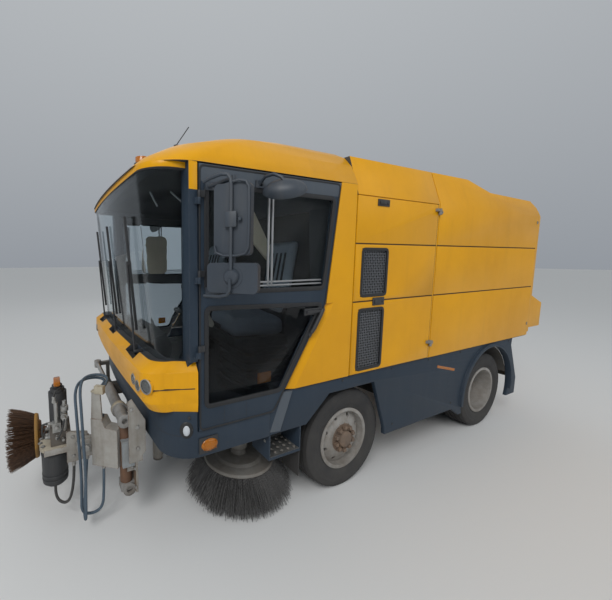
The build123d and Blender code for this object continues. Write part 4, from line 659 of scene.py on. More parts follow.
# %% Nodes of several finishes, told apart by place
def dress_by_place(node, rules, bevel, bm=None, axle=None):
    """rules: a list of (finish, test on a face's centre); the first that holds gives the finish."""
    names = [finish for finish, _ in rules]

    def pick(centre, normal):
        spot = Vector((centre.x, centre.y - AXLE_Y, centre.z))
        for index, (_, test) in enumerate(rules):
            if test(spot, normal):
                return index
        return len(rules) - 1
    return dress(node, names, bevel, pick=pick, bm=bm, axle=axle)


MIRROR_TURN = math.radians(38)
finish_material("mirror_glass", (0.62, 0.64, 0.66), (0.58, 0.60, 0.62), DUST, DUST, rough=(0.03, 0.08),
                metallic=1.0, grime_at=(3.0, 0.05, 0.0, 1.0), streak=(9.0, 0.08),
                chip=(30.0, 0.0, 0.0, 0.002), bump=(200.0, 2.0, 0.01, 0.001))
frame_copy = clean_copy("cab_frame")
for height in (2.090, 2.196):
    cut(frame_copy, at(0, 0, height))
dress_by_place("cab_frame", [
    ("sweeper_yellow", lambda p, n: p.z > 2.196 and n.y < -0.1 and p.y < -1.29),
    ("sweeper_yellow", lambda p, n: p.z > 2.090 and abs(p.x) > 0.99 and n.x * p.x > 0.0 and p.y < -1.23),
    ("interior_grey", lambda p, n: cab_room(at(p.x, p.y, p.z), n)),
    ("slate_paint", lambda p, n: True),
], 0.003, bm=frame_copy)
dress_by_place("steps", [
    ("bright_steel", lambda p, n: p.z < 0.47 and abs(n.x) < 0.5 and n.z > -0.5),
    ("worn_grey_steel", lambda p, n: p.z < 0.47),
    ("slate_paint", lambda p, n: True),
], 0.0015)
lamp_copy = clean_copy("lamps")
markers = [vert for vert in lamp_copy.verts
           if abs(vert.co.x) > 1.03 and at(0, -1.26, 0).y < vert.co.y < at(0, -1.0, 0).y and vert.co.z < 0.76]
bmesh.ops.delete(lamp_copy, geom=markers, context="VERTS")
dress_by_place("lamps", [
    ("red_lens", lambda p, n: p.y > 0),
    ("clear_lens", lambda p, n: True),
], 0.003, bm=lamp_copy)
dress_by_place("beacon", [
    ("amber_lens", lambda p, n: abs(p.x) < 0.3 and p.z > 2.4255),
    ("black_plastic", lambda p, n: True),
], 0.004)
for side in ("left", "right"):
    dress_by_place(f"front_rim_{side}", [
        ("rusty_hub", lambda p, n: abs(p.x) > 0.955 and math.hypot(p.y, p.z - TYRE_R) < 0.135),
        ("wheel_silver", lambda p, n: True),
    ], 0.0025, axle=at(0, 0, TYRE_R))
    dress_by_place(f"rear_rims_{side}", [
        ("rusty_hub", lambda p, n: math.hypot(p.y - REAR_Y, p.z - TYRE_R) < 0.13),
        ("wheel_silver", lambda p, n: True),
    ], 0.0025, axle=at(0, REAR_Y, TYRE_R))
print("nodes of several finishes dressed")


# %% [markdown]
# ## Tyres
# The CAD tyre is a plain turned body. The real one has a rounded shoulder, rings moulded in its wall and a
# tread cut by four grooves with slanted sipes across its ribs. The body is turned from a finer profile.
# The tread's lugs repeat all the way round, which is what Geometry Nodes are for: one lug, placed on the
# points of a circle.

# %% One tyre body
BEAD_R = 0.2235


def tyre_profile():
    """(along, radius) from the inner bead over the tread to the outer bead, then back inside."""
    wall = [(-0.089, BEAD_R), (-0.092, 0.240), (-0.097, 0.252), (-0.100, 0.262), (-0.1035, 0.266), (-0.1055, 0.285),
            (-0.1075, 0.305), (-0.1055, 0.325), (-0.1062, 0.327), (-0.1050, 0.332), (-0.1010, 0.345),
            (-0.0975, 0.362), (-0.0915, 0.3720), (-0.084, 0.3765)]
    tread = []
    for dark_line_along in (-0.056, -0.0185, 0.0185, 0.056):
        tread += [(dark_line_along - 0.0065, 0.3830 - abs(dark_line_along) * 0.04), (dark_line_along - 0.0045, 0.3715),
                  (dark_line_along + 0.0045, 0.3715), (dark_line_along + 0.0065, 0.3830 - abs(dark_line_along) * 0.04)]
    outer = wall + tread + [(-along, radius) for along, radius in reversed(wall)]
    inner = [(0.063, BEAD_R), (0.087, 0.270), (0.082, 0.335), (-0.082, 0.335), (-0.087, 0.270), (-0.063, BEAD_R)]
    return outer + inner + [outer[0]]


def tyre_body(middle):
    bm = bmesh.new()
    turned(bm, tyre_profile(), middle, Vector((1, 0, 0)), sides=96)
    outward(bm)
    return bm


# %% A Geometry Nodes tree that puts copies round a ring
def socket_id(tree, label):
    return next(item.identifier for item in tree.interface.items_tree if item.name == label
                and item.in_out == "INPUT")


def geometry_tree(name, inputs):
    """inputs: (label, socket type, value). Gives the tree and its ends."""
    tree = bpy.data.node_groups.new(name, "GeometryNodeTree")
    tree.interface.new_socket("Geometry", in_out="INPUT", socket_type="NodeSocketGeometry")
    for label, kind, value in inputs:
        socket = tree.interface.new_socket(label, in_out="INPUT", socket_type=kind)
        if value is not None:
            socket.default_value = value
    tree.interface.new_socket("Geometry", in_out="OUTPUT", socket_type="NodeSocketGeometry")
    return tree, tree.nodes.new("NodeGroupInput"), tree.nodes.new("NodeGroupOutput")


def place_copies(tree, inputs, outputs, source, points, links):
    """The end of each tree here: the source's copies on the points, made real and given the material."""
    copy = add_node(tree, "GeometryNodeObjectInfo", [("Object", inputs.outputs[source])])
    placed = add_node(tree, "GeometryNodeInstanceOnPoints",
                      [("Points", points), ("Instance", copy.outputs["Geometry"]), *links])
    real = add_node(tree, "GeometryNodeRealizeInstances", [("Geometry", placed.outputs[0])])
    painted = add_node(tree, "GeometryNodeSetMaterial", [("Geometry", real.outputs[0]),
                                                         ("Material", inputs.outputs["Material"])])
    tree.links.new(painted.outputs[0], outputs.inputs[0])


def run_tree(tree, name, values, base=None):
    """Runs a tree on an object of its own and returns the plain mesh that comes out."""
    host = new_object(name, base or bpy.data.meshes.new(name + "_base"))
    modifier = host.modifiers.new("nodes", "NODES")
    modifier.node_group = tree
    for label, value in values.items():
        modifier[socket_id(tree, label)] = value
    return frozen(host)


ring_tree, gin, gout = geometry_tree("Copies Round A Ring", [
    ("Copy", "NodeSocketObject", None), ("Count", "NodeSocketInt", 12), ("Radius", "NodeSocketFloat", 0.3),
    ("Material", "NodeSocketMaterial", None)])
circle = add_node(ring_tree, "GeometryNodeMeshCircle", [("Vertices", gin.outputs["Count"]),
                                                        ("Radius", gin.outputs["Radius"])])
index = add_node(ring_tree, "GeometryNodeInputIndex").outputs[0]
step = maths(ring_tree, "DIVIDE", math.tau, gin.outputs["Count"])
turn = add_node(ring_tree, "ShaderNodeCombineXYZ", [("Z", maths(ring_tree, "MULTIPLY", index, step))]).outputs[0]
place_copies(ring_tree, gin, gout, "Copy", circle.outputs["Mesh"], [("Rotation", turn)])


def ring_of(copy_mesh, count, radius, material, name):
    """The copies as one bmesh; the copy's +X points away from the ring's axis, which is Z."""
    spare = new_object(name + "_copy", copy_mesh)
    spare.hide_render = True
    host = run_tree(ring_tree, name, {"Copy": spare, "Count": count, "Radius": radius,
                                      "Material": MATERIALS[material]})
    bm = bmesh.new()
    bm.from_mesh(host.data)
    bpy.data.objects.remove(host)
    bpy.data.objects.remove(spare)
    return bm


# %% Tread lugs
def lug_mesh():
    """Five slanted blocks across the tread, one for each rib, with a narrow cut between lugs."""
    bm = bmesh.new()
    ribs = [(-0.094, -0.0645), (-0.0475, -0.027), (-0.0105, 0.0105), (0.027, 0.0475), (0.0645, 0.094)]
    for number, (low, high) in enumerate(ribs):
        lean = 0.006 if number % 2 else -0.006
        inner = 0.372 - TYRE_R
        drop = 0.0055 if number in (0, 4) else 0.0
        corners = []
        for z in (inner, -drop):
            for along, across in ((low, -0.0115), (high, -0.0115), (high, 0.0115), (low, 0.0115)):
                skew = lean * (1 if along == high else -1)
                edge_drop = 0.004 if (number == 0 and along == low) or (number == 4 and along == high) else 0.0
                corners.append(bm.verts.new((z - (edge_drop if z > inner else 0.0), across + skew, along)))
        for face in ((3, 2, 1, 0), (4, 5, 6, 7), (0, 1, 5, 4), (1, 2, 6, 5), (2, 3, 7, 6), (3, 0, 4, 7)):
            bm.faces.new([corners[k] for k in face])
    bmesh.ops.recalc_face_normals(bm, faces=bm.faces)
    return mesh_from(bm, "lug")


def tread_ring(middle):
    bm = ring_of(lug_mesh(), 88, TYRE_R, "tyre_rubber", "tread")
    to_axle = Matrix.Translation(middle) @ Matrix.Rotation(math.radians(90), 4, "Y")
    bmesh.ops.transform(bm, matrix=to_axle, verts=bm.verts)
    return bm


def make_tyres():
    for sign, side in SIDES:
        wheels = (
            (f"front_tyre_{side}", f"front_wheel_{side}", [at(sign * 0.8925, 0, TYRE_R)]),
            (f"rear_tyres_{side}", f"rear_wheels_{side}", [at(sign * 0.8925, REAR_Y, TYRE_R),
                                                           at(sign * 0.6475, REAR_Y, TYRE_R)]),
        )
        for node, body, middles in wheels:
            bm = bmesh.new()
            for middle in middles:
                pour(tyre_body(middle), bm)
                pour(tread_ring(middle), bm)
            piece = piece_from(node + "_dressed", bm, "tyre_rubber", body, "tyre_rubber", [node], smooth=38)
            print(piece.name, len(piece.data.polygons), "faces")


make_tyres()

# %% [markdown]
# ## Brushes
# Each brush is a disc with hundreds of stiff wires and plastic strands that splay out to the road. One
# strand is a thin bent strip. Geometry Nodes scatter it in a ring with a fixed seed, turn each copy
# outwards and vary its lean and length, so no two look alike.

# %% One strand
def strand_mesh(splay, drop, bow):
    """A strand from its root at the origin outwards by splay and down by drop, three-sided."""
    bm = bmesh.new()
    rings = []
    steps = 5
    for i in range(steps + 1):
        share = i / steps
        reach = splay * share + bow * math.sin(math.pi * share)
        middle = Vector((reach, 0.0, -drop * share))
        half = 0.0019 - 0.0006 * share
        rings.append([bm.verts.new(middle + Vector((half * math.cos(math.tau * k / 3),
                                                    half * math.sin(math.tau * k / 3), 0.0)))
                      for k in range(3)])
    for near, far in zip(rings, rings[1:]):
        for k in range(3):
            bm.faces.new((near[k], far[k], far[(k + 1) % 3], near[(k + 1) % 3]))
    bm.faces.new(rings[0])
    bm.faces.new(list(reversed(rings[-1])))
    bmesh.ops.recalc_face_normals(bm, faces=bm.faces)
    return mesh_from(bm, "strand")


# %% The tree that scatters strands
brush_tree, gin, gout = geometry_tree("Strands Of A Brush", [
    ("Strand", "NodeSocketObject", None), ("Count", "NodeSocketInt", 2000), ("Inner", "NodeSocketFloat", 0.19),
    ("Outer", "NodeSocketFloat", 0.24), ("Lean", "NodeSocketFloat", 0.15), ("Shortest", "NodeSocketFloat", 0.88),
    ("Seed", "NodeSocketInt", 7), ("Material", "NodeSocketMaterial", None)])


def random_value(tree, low, high, seed_shift):
    seed = maths(tree, "ADD", gin.outputs["Seed"], seed_shift)
    node = add_node(tree, "FunctionNodeRandomValue", data_type="FLOAT")
    for key, value in (("Min", low), ("Max", high)):
        socket = next(item for item in node.inputs if item.name == key and item.type == "VALUE")
        if isinstance(value, bpy.types.NodeSocket):
            tree.links.new(value, socket)
        else:
            socket.default_value = value
    tree.links.new(seed, node.inputs["Seed"])
    return next(item for item in node.outputs if item.type == "VALUE")


angle = random_value(brush_tree, 0.0, math.tau, 1)
radius = random_value(brush_tree, gin.outputs["Inner"], gin.outputs["Outer"], 2)
lean = random_value(brush_tree, maths(brush_tree, "MULTIPLY", gin.outputs["Lean"], -1.0), gin.outputs["Lean"], 3)
swing = random_value(brush_tree, -0.16, 0.16, 4)
length = random_value(brush_tree, gin.outputs["Shortest"], 1.0, 5)
x = maths(brush_tree, "MULTIPLY", radius, maths(brush_tree, "COSINE", angle, 0.0))
y = maths(brush_tree, "MULTIPLY", radius, maths(brush_tree, "SINE", angle, 0.0))
spot = add_node(brush_tree, "ShaderNodeCombineXYZ", [("X", x), ("Y", y)]).outputs[0]
points = add_node(brush_tree, "GeometryNodePoints", [("Count", gin.outputs["Count"]), ("Position", spot)])
facing = add_node(brush_tree, "ShaderNodeCombineXYZ",
                  [("Y", lean), ("Z", maths(brush_tree, "ADD", angle, swing))]).outputs[0]
place_copies(brush_tree, gin, gout, "Strand", points.outputs[0], [("Rotation", facing), ("Scale", length)])


# %% Three brushes
def brush_piece(node, body, place, strand, count, inner, outer, lean, shortest, material, seed):
    spare = new_object(node + "_strand", strand)
    host = run_tree(brush_tree, node + "_strands", {
        "Strand": spare, "Count": count, "Inner": inner, "Outer": outer, "Lean": lean, "Shortest": shortest,
        "Seed": seed, "Material": MATERIALS[material]})
    bpy.data.objects.remove(spare)
    host.data.transform(place)
    finish_piece(host, None, body, "bristle_brown", [node], smooth=60)


for sign, side in SIDES:
    brush_piece(f"brush_tines_{side}", f"side_brush_{side}", Matrix.Translation(at(sign * 0.610, -0.700, 0.228)),
                strand_mesh(0.158, 0.212, 0.012), 2300, 0.195, 0.252, 0.085, 0.86, "bristle_grey", 11)
brush_piece("front_brush_tines", "front_brush", Matrix.Translation(at(0.120, -2.080, 0.490))
            @ Matrix.Rotation(math.radians(-90), 4, "X"), strand_mesh(0.066, 0.172, 0.006), 1300, 0.075, 0.142, 0.06,
            0.88, "bristle_brown", 23)

# %% [markdown]
# ## Hoses
# The hoses of the front brush hang in loops. Each is one smooth NURBS curve on its route's points, so it
# bends as a real hose does, with no kinks. Two of them wear a woven sleeve.

# %% Hose curves
HOSE_R = 0.009
HOSES = {
    "hose_feed": ("front_arm", "hose_sleeve", [
        (0.5733, -1.6767, 0.940), (0.501, -1.618, 0.960), (0.425, -1.680, 0.978), (0.450, -1.775, 0.982),
        (0.548, -1.812, 0.955), (0.604, -1.812, 0.830), (0.606, -1.808, 0.620), (0.599, -1.802, 0.420),
        (0.600, -1.808, 0.255), (0.612, -1.814, 0.095), (0.492, -1.816, 0.088), (0.500, -1.800, 0.260),
        (0.508, -1.782, 0.4842)]),
    "hose_loop": ("front_arm", "hose_sleeve", [
        (0.5535, -1.7018, 0.928), (0.469, -1.633, 0.938), (0.398, -1.690, 0.950), (0.420, -1.795, 0.955),
        (0.520, -1.840, 0.925), (0.574, -1.838, 0.800), (0.575, -1.832, 0.600), (0.566, -1.826, 0.420),
        (0.566, -1.828, 0.270), (0.570, -1.836, 0.125), (0.572, -1.706, 0.115), (0.566, -1.693, 0.275),
        (0.570, -1.690, 0.4292)]),
    "hose_pot": ("front_head", "hose_black", [
        (0.350, -1.972, 0.2604), (0.352, -1.990, 0.140), (0.452, -1.903, 0.132), (0.448, -1.862, 0.290),
        (0.450, -1.860, 0.4295)]),
}


def make_hose(node, body, material, route):
    piece = curve_on(node + "_line", route, 16)
    line = line_of(piece)
    length = sum((b - a).length for a, b in zip(line, line[1:]))
    piece.data.bevel_depth = HOSE_R
    piece.data.bevel_resolution = 5
    piece.data.use_fill_caps = True
    piece.data.materials.append(MATERIALS[material])
    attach(piece, body)
    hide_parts(node)
    tuple(at(*route[0]))
    print(node, "length", round(length, 3), "m")


for node, (body, material, route) in HOSES.items():
    make_hose(node, body, material, route)

# %% [markdown]
# ## Bolts and nuts
# Dozens of hexagon heads hold this machine together. Geometry Nodes put one head on every marked point and
# turn it to face the way that the mark's "facing" attribute says.

# %% A bolt's head, and the tree that places it
def bolt_mesh(across=0.011, height=0.007):
    bm = bmesh.new()
    turned(bm, [(0.0, 0.0), (0.0, across * 1.35), (0.0016, across * 1.35), (0.0018, across * 1.2)], Vector(), Z_AXIS,
           sides=12)
    turned(bm, [(0.0018, across * 1.2), (0.0018, across), (height * 0.85, across), (height, across * 0.84),
                (height, 0.0)], Vector(),
           Z_AXIS, sides=6)
    outward(bm)
    return mesh_from(bm, "bolt")


bolt_tree, gin, gout = geometry_tree("Bolts On Marks", [
    ("Geometry Marks", "NodeSocketGeometry", None), ("Bolt", "NodeSocketObject", None),
    ("Material", "NodeSocketMaterial", None)])
facing = add_node(bolt_tree, "GeometryNodeInputNamedAttribute", data_type="FLOAT_VECTOR")
facing.inputs["Name"].default_value = "facing"
size = add_node(bolt_tree, "GeometryNodeInputNamedAttribute", data_type="FLOAT")
size.inputs["Name"].default_value = "size"
aimed = add_node(bolt_tree, "FunctionNodeAlignRotationToVector", [("Vector", facing.outputs["Attribute"])], axis="Z")
place_copies(bolt_tree, gin, gout, "Bolt", gin.outputs["Geometry"],
             [("Rotation", aimed.outputs[0]), ("Scale", size.outputs["Attribute"])])


def bolts(name, body, marks, material="bright_steel", slot_name="cast_metal"):
    """marks: (x, y, z, facing, size) from the front axle."""
    base = bpy.data.meshes.new(name + "_marks")
    base.from_pydata([tuple(at(*mark[:3])) for mark in marks], [], [])
    facings = [value for mark in marks for value in mark[3]]
    base.attributes.new("facing", "FLOAT_VECTOR", "POINT").data.foreach_set("vector", facings)
    base.attributes.new("size", "FLOAT", "POINT").data.foreach_set("value", [mark[4] for mark in marks])
    spare = new_object(name + "_bolt", bolt_mesh())
    host = run_tree(bolt_tree, name, {"Bolt": spare, "Material": MATERIALS[material]}, base)
    bpy.data.objects.remove(spare)
    finish_piece(host, None, body, slot_name, smooth=30)
    print(name, len(marks), "bolts")


LEFT, AHEAD, UP, DOWN = (1, 0, 0), (0, -1, 0), (0, 0, 1), (0, 0, -1)
bolts("mount_bolts", "truck", [
    (0.700, -1.515, 0.300, AHEAD, 1.0), (0.580, -1.515, 0.360, AHEAD, 0.9), (0.690, -1.515, 0.420, AHEAD, 1.0),
    (0.690, -1.515, 0.640, AHEAD, 1.0), (0.590, -1.515, 0.640, AHEAD, 1.0), (0.706, -1.500, 0.560, LEFT, 1.0),
    (0.706, -1.500, 0.700, LEFT, 1.0), (0.706, -1.535, 0.820, LEFT, 0.9), (0.668, -1.530, 0.420, LEFT, 0.7),
    (0.668, -1.530, 0.500, LEFT, 0.7), (0.300, -1.500, 0.580, AHEAD, 1.0), (0.300, -1.500, 0.500, AHEAD, 1.0),
    (-0.340, -1.500, 0.580, AHEAD, 1.0), (-0.340, -1.500, 0.500, AHEAD, 1.0)])
for sign, side in SIDES:
    outwards = (sign, 0, 0)
    bolts(f"skirt_bolts_{side}", "truck", [(sign * 1.036, y, z, outwards, 0.62) for y, z in (
        (-0.600, 0.860), (-0.100, 0.870), (0.450, 0.870), (0.950, 0.870), (1.450, 0.870), (2.380, 0.870),
        (0.500, 0.400), (1.350, 0.400), (2.560, 0.330), (-0.690, 0.680))], "black_plastic", "black_plastic")
    bolts(f"step_bolts_{side}", "truck", [(sign * x, -0.738, z, AHEAD, 0.7) for x, z in ((0.90, 0.56), (0.99, 0.56))])
    for name, body, circle_r, x, y in (("wheel_nuts", "front_wheel", 0.088, 0.8925 + 0.1045, 0),
                                       ("hind_wheel_nuts", "rear_wheels", 0.112, 0.8925 - 0.0745, REAR_Y)):
        nuts = ring_of(bolt_mesh(0.0155, 0.014), 10, circle_r, "rusty_hub", name)
        bmesh.ops.transform(nuts, verts=nuts.verts, matrix=Matrix.Translation(at(sign * x, y, TYRE_R))
                            @ Matrix.Rotation(sign * math.radians(90), 4, "Y"))
        piece_from(f"{name}_{side}", nuts, "rusty_hub", f"{body}_{side}", "cast_metal", smooth=30)

# %% [markdown]
# ## The front brush unit
# This is the hard-worked end of the machine: plates of grey steel that have rusted at their edges, a cream
# bracket, a black motor pot, a black oil tank with an orange reflector on it, and a nest of fittings and
# steel pipes. The CAD solids are told apart by place; fittings and pipes are new pieces.

# %% Finishes of the front unit
for name, values in {
    "pale_plate": dict(base=(0.36, 0.355, 0.33), faded=(0.46, 0.45, 0.42), dirt=(0.16, 0.13, 0.10), bare=RUST,
                       rough=(0.5, 0.75), grime_at=(8.0, 0.42, 0.1, 1.1), streak=(18.0, 0.5),
                       chip=(24.0, 0.8, 1.0, 0.008), bump=(150.0, 5.0, 0.35, 0.002)),
    "ram_grey": dict(base=(0.33, 0.335, 0.33), faded=(0.44, 0.44, 0.43), dirt=(0.15, 0.125, 0.10),
                     bare=(0.12, 0.08, 0.06), rough=(0.35, 0.6), metallic=0.4, grime_at=(10.0, 0.45, 0.1, 1.1),
                     streak=(20.0, 0.4), chip=(36.0, 0.6, 0.5, 0.005)),
    "pipe_blue": dict(base=(0.025, 0.05, 0.085), faded=(0.05, 0.08, 0.12), dirt=DUST, bare=(0.2, 0.2, 0.2),
                      rough=(0.4, 0.6), grime_at=(9.0, 0.3, 0.1, 1.1)),
    "disc_ochre": dict(base=(0.62, 0.30, 0.02), faded=(0.50, 0.25, 0.04), dirt=(0.12, 0.09, 0.06), bare=RUST,
                       rough=(0.5, 0.8), grime_at=(9.0, 0.5, 0.1, 1.2), chip=(26.0, 0.9, 0.8, 0.006)),
}.items():
    finish_material(name, **values)


def in_tube(p, axis_y, axis_z, radius):
    return math.hypot(p.y - axis_y, p.z - axis_z) < radius


dress_by_place("front_mount", [
    ("bright_steel", lambda p, n: in_tube(p, -1.575, 0.752, 0.022) and p.x < 0.11),
    ("ram_grey", lambda p, n: in_tube(p, -1.575, 0.752, 0.046)),
    ("cream_paint", lambda p, n: in_tube(p, -1.575, 0.752, 0.056) and p.x < 0.55),
    ("ram_grey", lambda p, n: p.z < 0.318 and p.x > 0.5),
    ("pale_plate", lambda p, n: p.x > 0.655 and p.x < 0.672 and p.z < 0.53),
    ("rust_patched", lambda p, n: p.x > 0.57 and p.x < 0.66 and p.y < -1.50),
    ("chassis_paint", lambda p, n: p.x < 0.40),
    ("pale_plate", lambda p, n: True),
], 0.0025)
dress_by_place("front_arm", [
    ("cream_paint", lambda p, n: p.z > 0.895),
    ("pipe_blue", lambda p, n: p.z > 0.741 and p.z < 0.77 and p.x < 0.66 and math.hypot(p.x - 0.62, p.y + 1.56) > 0.12
     and math.hypot(p.x - 0.62, p.y + 1.56) < 0.215 and n.z > -0.2),
    ("rusty_iron", lambda p, n: math.hypot(p.x - 0.62, p.y + 1.56) < 0.042),
    ("pale_plate", lambda p, n: True),
], 0.0025)
dress_by_place("front_head", [
    ("black_plastic", lambda p, n: math.hypot(p.x - 0.35, p.y + 1.972) < 0.08 and p.z < 0.5045),
    ("black_plastic", lambda p, n: math.hypot(p.x - 0.30, p.y + 1.935) < 0.058 and p.z > 0.642),
    ("cream_paint", lambda p, n: p.z > 0.503 and p.z < 0.547 and p.x > 0.245),
    ("bright_steel", lambda p, n: p.z > 0.642),
    ("cast_iron", lambda p, n: p.z > 0.547 and p.y < -1.895),
    ("pale_plate", lambda p, n: True),
], 0.0025)


def disc_middle(centre, normal):
    """The front brush disc's rusty middle (1) in its ochre ring (0)."""
    return 0 if math.hypot(centre.x - 0.12, centre.z - 0.49) > 0.1 else 1


dress("front_brush_disc", ("disc_ochre", "rusty_iron"), 0.002, pick=disc_middle)


# %% Pipes and fittings
def fitting(bm, place, axis, radius=0.011, length=0.034):
    """A hydraulic fitting: hexagon, collar and hose stub."""
    turned(bm, [(0.0, 0.0), (0.0, radius), (length * 0.42, radius), (length * 0.45, radius * 0.8)], place, axis,
           sides=6)
    turned(bm, [(length * 0.45, radius * 0.8), (length * 0.5, radius * 0.9), (length * 0.95, radius * 0.9),
                (length, radius * 0.7), (length, 0.0)], place, axis, sides=12)


def curved(points):
    """Points along a smooth curve through a few given places."""
    guide = curve_on("guide", points, 10)
    line = line_of(guide)
    bpy.data.objects.remove(guide)
    return line


def pipes(name, body, routes, radius, material, slot_name):
    bm = bmesh.new()
    for route in routes:
        tube_along(bm, curved(route), radius, sides=10)
    return solid_piece(name, bm, material, body, slot_name, smooth=45)


def fittings(name, body, places, material="bright_steel"):
    bm = bmesh.new()
    for place, axis, radius, length in places:
        fitting(bm, at(*place), Vector(axis), radius, length)
    return solid_piece(name, bm, material, body, "cast_metal", smooth=35)


fittings("head_fittings", "front_head", [
    ((0.415, -1.958, 0.830), UP, 0.013, 0.040), ((0.420, -1.900, 0.800), UP, 0.014, 0.036),
    ((0.440, -1.950, 0.680), LEFT, 0.012, 0.030), ((0.325, -1.986, 0.655), AHEAD, 0.011, 0.026),
    ((0.400, -1.991, 0.600), AHEAD, 0.013, 0.030), ((0.345, -1.991, 0.590), AHEAD, 0.011, 0.028),
    ((0.285, -1.991, 0.600), AHEAD, 0.013, 0.030), ((0.431, -1.950, 0.610), LEFT, 0.012, 0.028),
    ((0.431, -1.915, 0.590), LEFT, 0.011, 0.028), ((0.450, -1.860, 0.430), DOWN, 0.015, 0.030),
    ((0.350, -1.972, 0.262), DOWN, 0.015, 0.026), ((0.160, -1.988, 0.500), AHEAD, 0.012, 0.020),
    ((0.455, -1.905, 0.740), LEFT, 0.014, 0.030), ((0.405, -1.975, 0.690), AHEAD, 0.011, 0.026)])
pipes("head_pipes", "front_head", [
    [(0.345, -2.018, 0.590), (0.345, -2.034, 0.590), (0.300, -2.036, 0.560), (0.200, -2.020, 0.552),
     (0.160, -2.012, 0.525), (0.160, -2.006, 0.500)],
    [(0.400, -2.020, 0.600), (0.400, -2.036, 0.605), (0.405, -2.034, 0.680), (0.405, -2.020, 0.700),
     (0.405, -2.000, 0.692)],
    [(0.285, -2.020, 0.600), (0.285, -2.040, 0.600), (0.300, -2.040, 0.640), (0.325, -2.030, 0.655),
     (0.325, -2.010, 0.655)],
    [(0.415, -1.958, 0.868), (0.415, -1.955, 0.900), (0.400, -1.925, 0.905), (0.350, -1.915, 0.900),
     (0.325, -1.925, 0.882)],
    [(0.460, -1.950, 0.610), (0.480, -1.950, 0.612), (0.482, -1.935, 0.640), (0.484, -1.910, 0.700),
     (0.482, -1.905, 0.740)],
], 0.0055, "hose_black", "black_rubber")
fittings("arm_fittings", "front_arm", [
    ((0.508, -1.782, 0.486), DOWN, 0.014, 0.028), ((0.570, -1.690, 0.431), DOWN, 0.014, 0.028)], "bright_steel")

# %% The tank's cap and reflector, the pot's bands, and the bolts of the head
bm = bmesh.new()
turned(bm, [(0.0, 0.0), (0.0, 0.030), (0.006, 0.032), (0.020, 0.032), (0.024, 0.028), (0.024, 0.0)],
       at(0.300, -1.935, 0.884), Z_AXIS, sides=20)
solid_piece("tank_cap", bm, "black_plastic", "front_head", "black_plastic", smooth=40)
bm = bmesh.new()
box_into(bm, at(0.243, -1.956, 0.908), at(0.357, -1.914, 0.940), round_by=0.008)
solid_piece("tank_reflector", bm, "amber_lens", "front_head", "lamp_lens", smooth=40)
bm = bmesh.new()
for z in (0.300, 0.330, 0.470, 0.492):
    turned(bm, [(0.0, 0.074), (0.0, 0.0805), (0.008, 0.0805), (0.008, 0.074), (0.0, 0.074)], at(0.350, -1.972, z),
           Z_AXIS, sides=40)
solid_piece("pot_bands", bm, "black_plastic", "front_head", "black_plastic", smooth=40)
bolts("head_bolts", "front_head", [
    (0.275, -2.010, 0.545, UP, 1.0), (0.300, -2.045, 0.545, UP, 1.0), (0.352, -2.052, 0.545, UP, 1.0),
    (0.402, -2.035, 0.545, UP, 1.0), (0.262, -1.900, 0.545, UP, 0.9), (0.460, -1.860, 0.600, LEFT, 0.9),
    (0.460, -1.860, 0.470, LEFT, 0.9), (0.460, -1.830, 0.550, LEFT, 1.3)])
bolts("arm_bolts", "front_arm", [
    (0.530, -1.750, 0.590, LEFT, 1.0), (0.530, -1.750, 0.500, LEFT, 1.0), (0.530, -1.790, 0.545, LEFT, 2.2)])

# %% [markdown]
# ## Window seals, sliding bars and the dark band of the windscreen
# Each side window sits in a black rubber strip. A strip is one cross section carried round a rounded
# outline with mitred corners. The upper window slides, so it has aluminium bars. The windscreen is glued
# in, and a printed black band hides the glue: there the pane is cut and its edge faces get black.

# %% Outlines and strips
def rounded(points, radius, steps=5):
    """A closed outline with its corners rounded."""
    line = []
    for before, here, after in zip([points[-1]] + points[:-1], points, points[1:] + [points[0]]):
        start = here + (before - here).normalized() * min(radius, (before - here).length * 0.45)
        end = here + (after - here).normalized() * min(radius, (after - here).length * 0.45)
        for i in range(steps + 1):
            t = i / steps
            line.append(start * (1 - t) ** 2 + here * (2 * t * (1 - t)) + end * t ** 2)
    return line


def strip(bm, points, normal, half, height, sink=0.006):
    """A rubber strip round a closed outline: flat sides, rounded top."""
    normal = Vector(normal).normalized()
    section = [(-half, -sink), (-half, height * 0.6), (-half * 0.6, height), (half * 0.6, height),
               (half, height * 0.6), (half, -sink)]
    count = len(points)
    rings = []
    for i, point in enumerate(points):
        first = normal.cross((point - points[i - 1]).normalized())
        second = normal.cross((points[(i + 1) % count] - point).normalized())
        mitre = (first + second) / max(1.0 + first.dot(second), 0.4)
        rings.append([bm.verts.new(point + mitre * across + normal * up) for across, up in section])
    size = len(section)
    for near_ring, far_ring in zip(rings, rings[1:] + [rings[0]]):
        for k in range(size):
            bm.faces.new((near_ring[k], far_ring[k], far_ring[(k + 1) % size], near_ring[(k + 1) % size]))


def side_outline(points, x):
    return [at(x, y, z) for y, z in points]


UPPER_PANE = [(-1.191, 1.555), (-0.334, 1.545), (-0.264, 2.120), (-1.191, 2.120)]
LOWER_PANE = [(-1.191, 0.915), (-0.672, 0.915), (-0.348, 1.440), (-1.191, 1.470)]
DOOR_BORDER = [(-1.229, 0.784), (-0.722, 0.784), (-0.314, 1.440), (-0.217, 2.214), (-1.229, 2.214)]
finish_material("aluminium", (0.36, 0.37, 0.38), (0.30, 0.31, 0.32), DUST, (0.2, 0.2, 0.2), rough=(0.35, 0.5),
                metallic=0.6, grime_at=(9.0, 0.15, 0.2, 1.2), chip=(40.0, 0.1, 0.2, 0.003))
finish_material("frit_black", (0.008, 0.009, 0.011), (0.012, 0.013, 0.015), DUST, (0.05, 0.05, 0.05),
                rough=(0.12, 0.2), grime_at=(4.0, 0.12, 0.8, 1.8), streak=(9.0, 0.12),
                chip=(30.0, 0.0, 0.0, 0.002), bump=(200.0, 2.0, 0.02, 0.001))
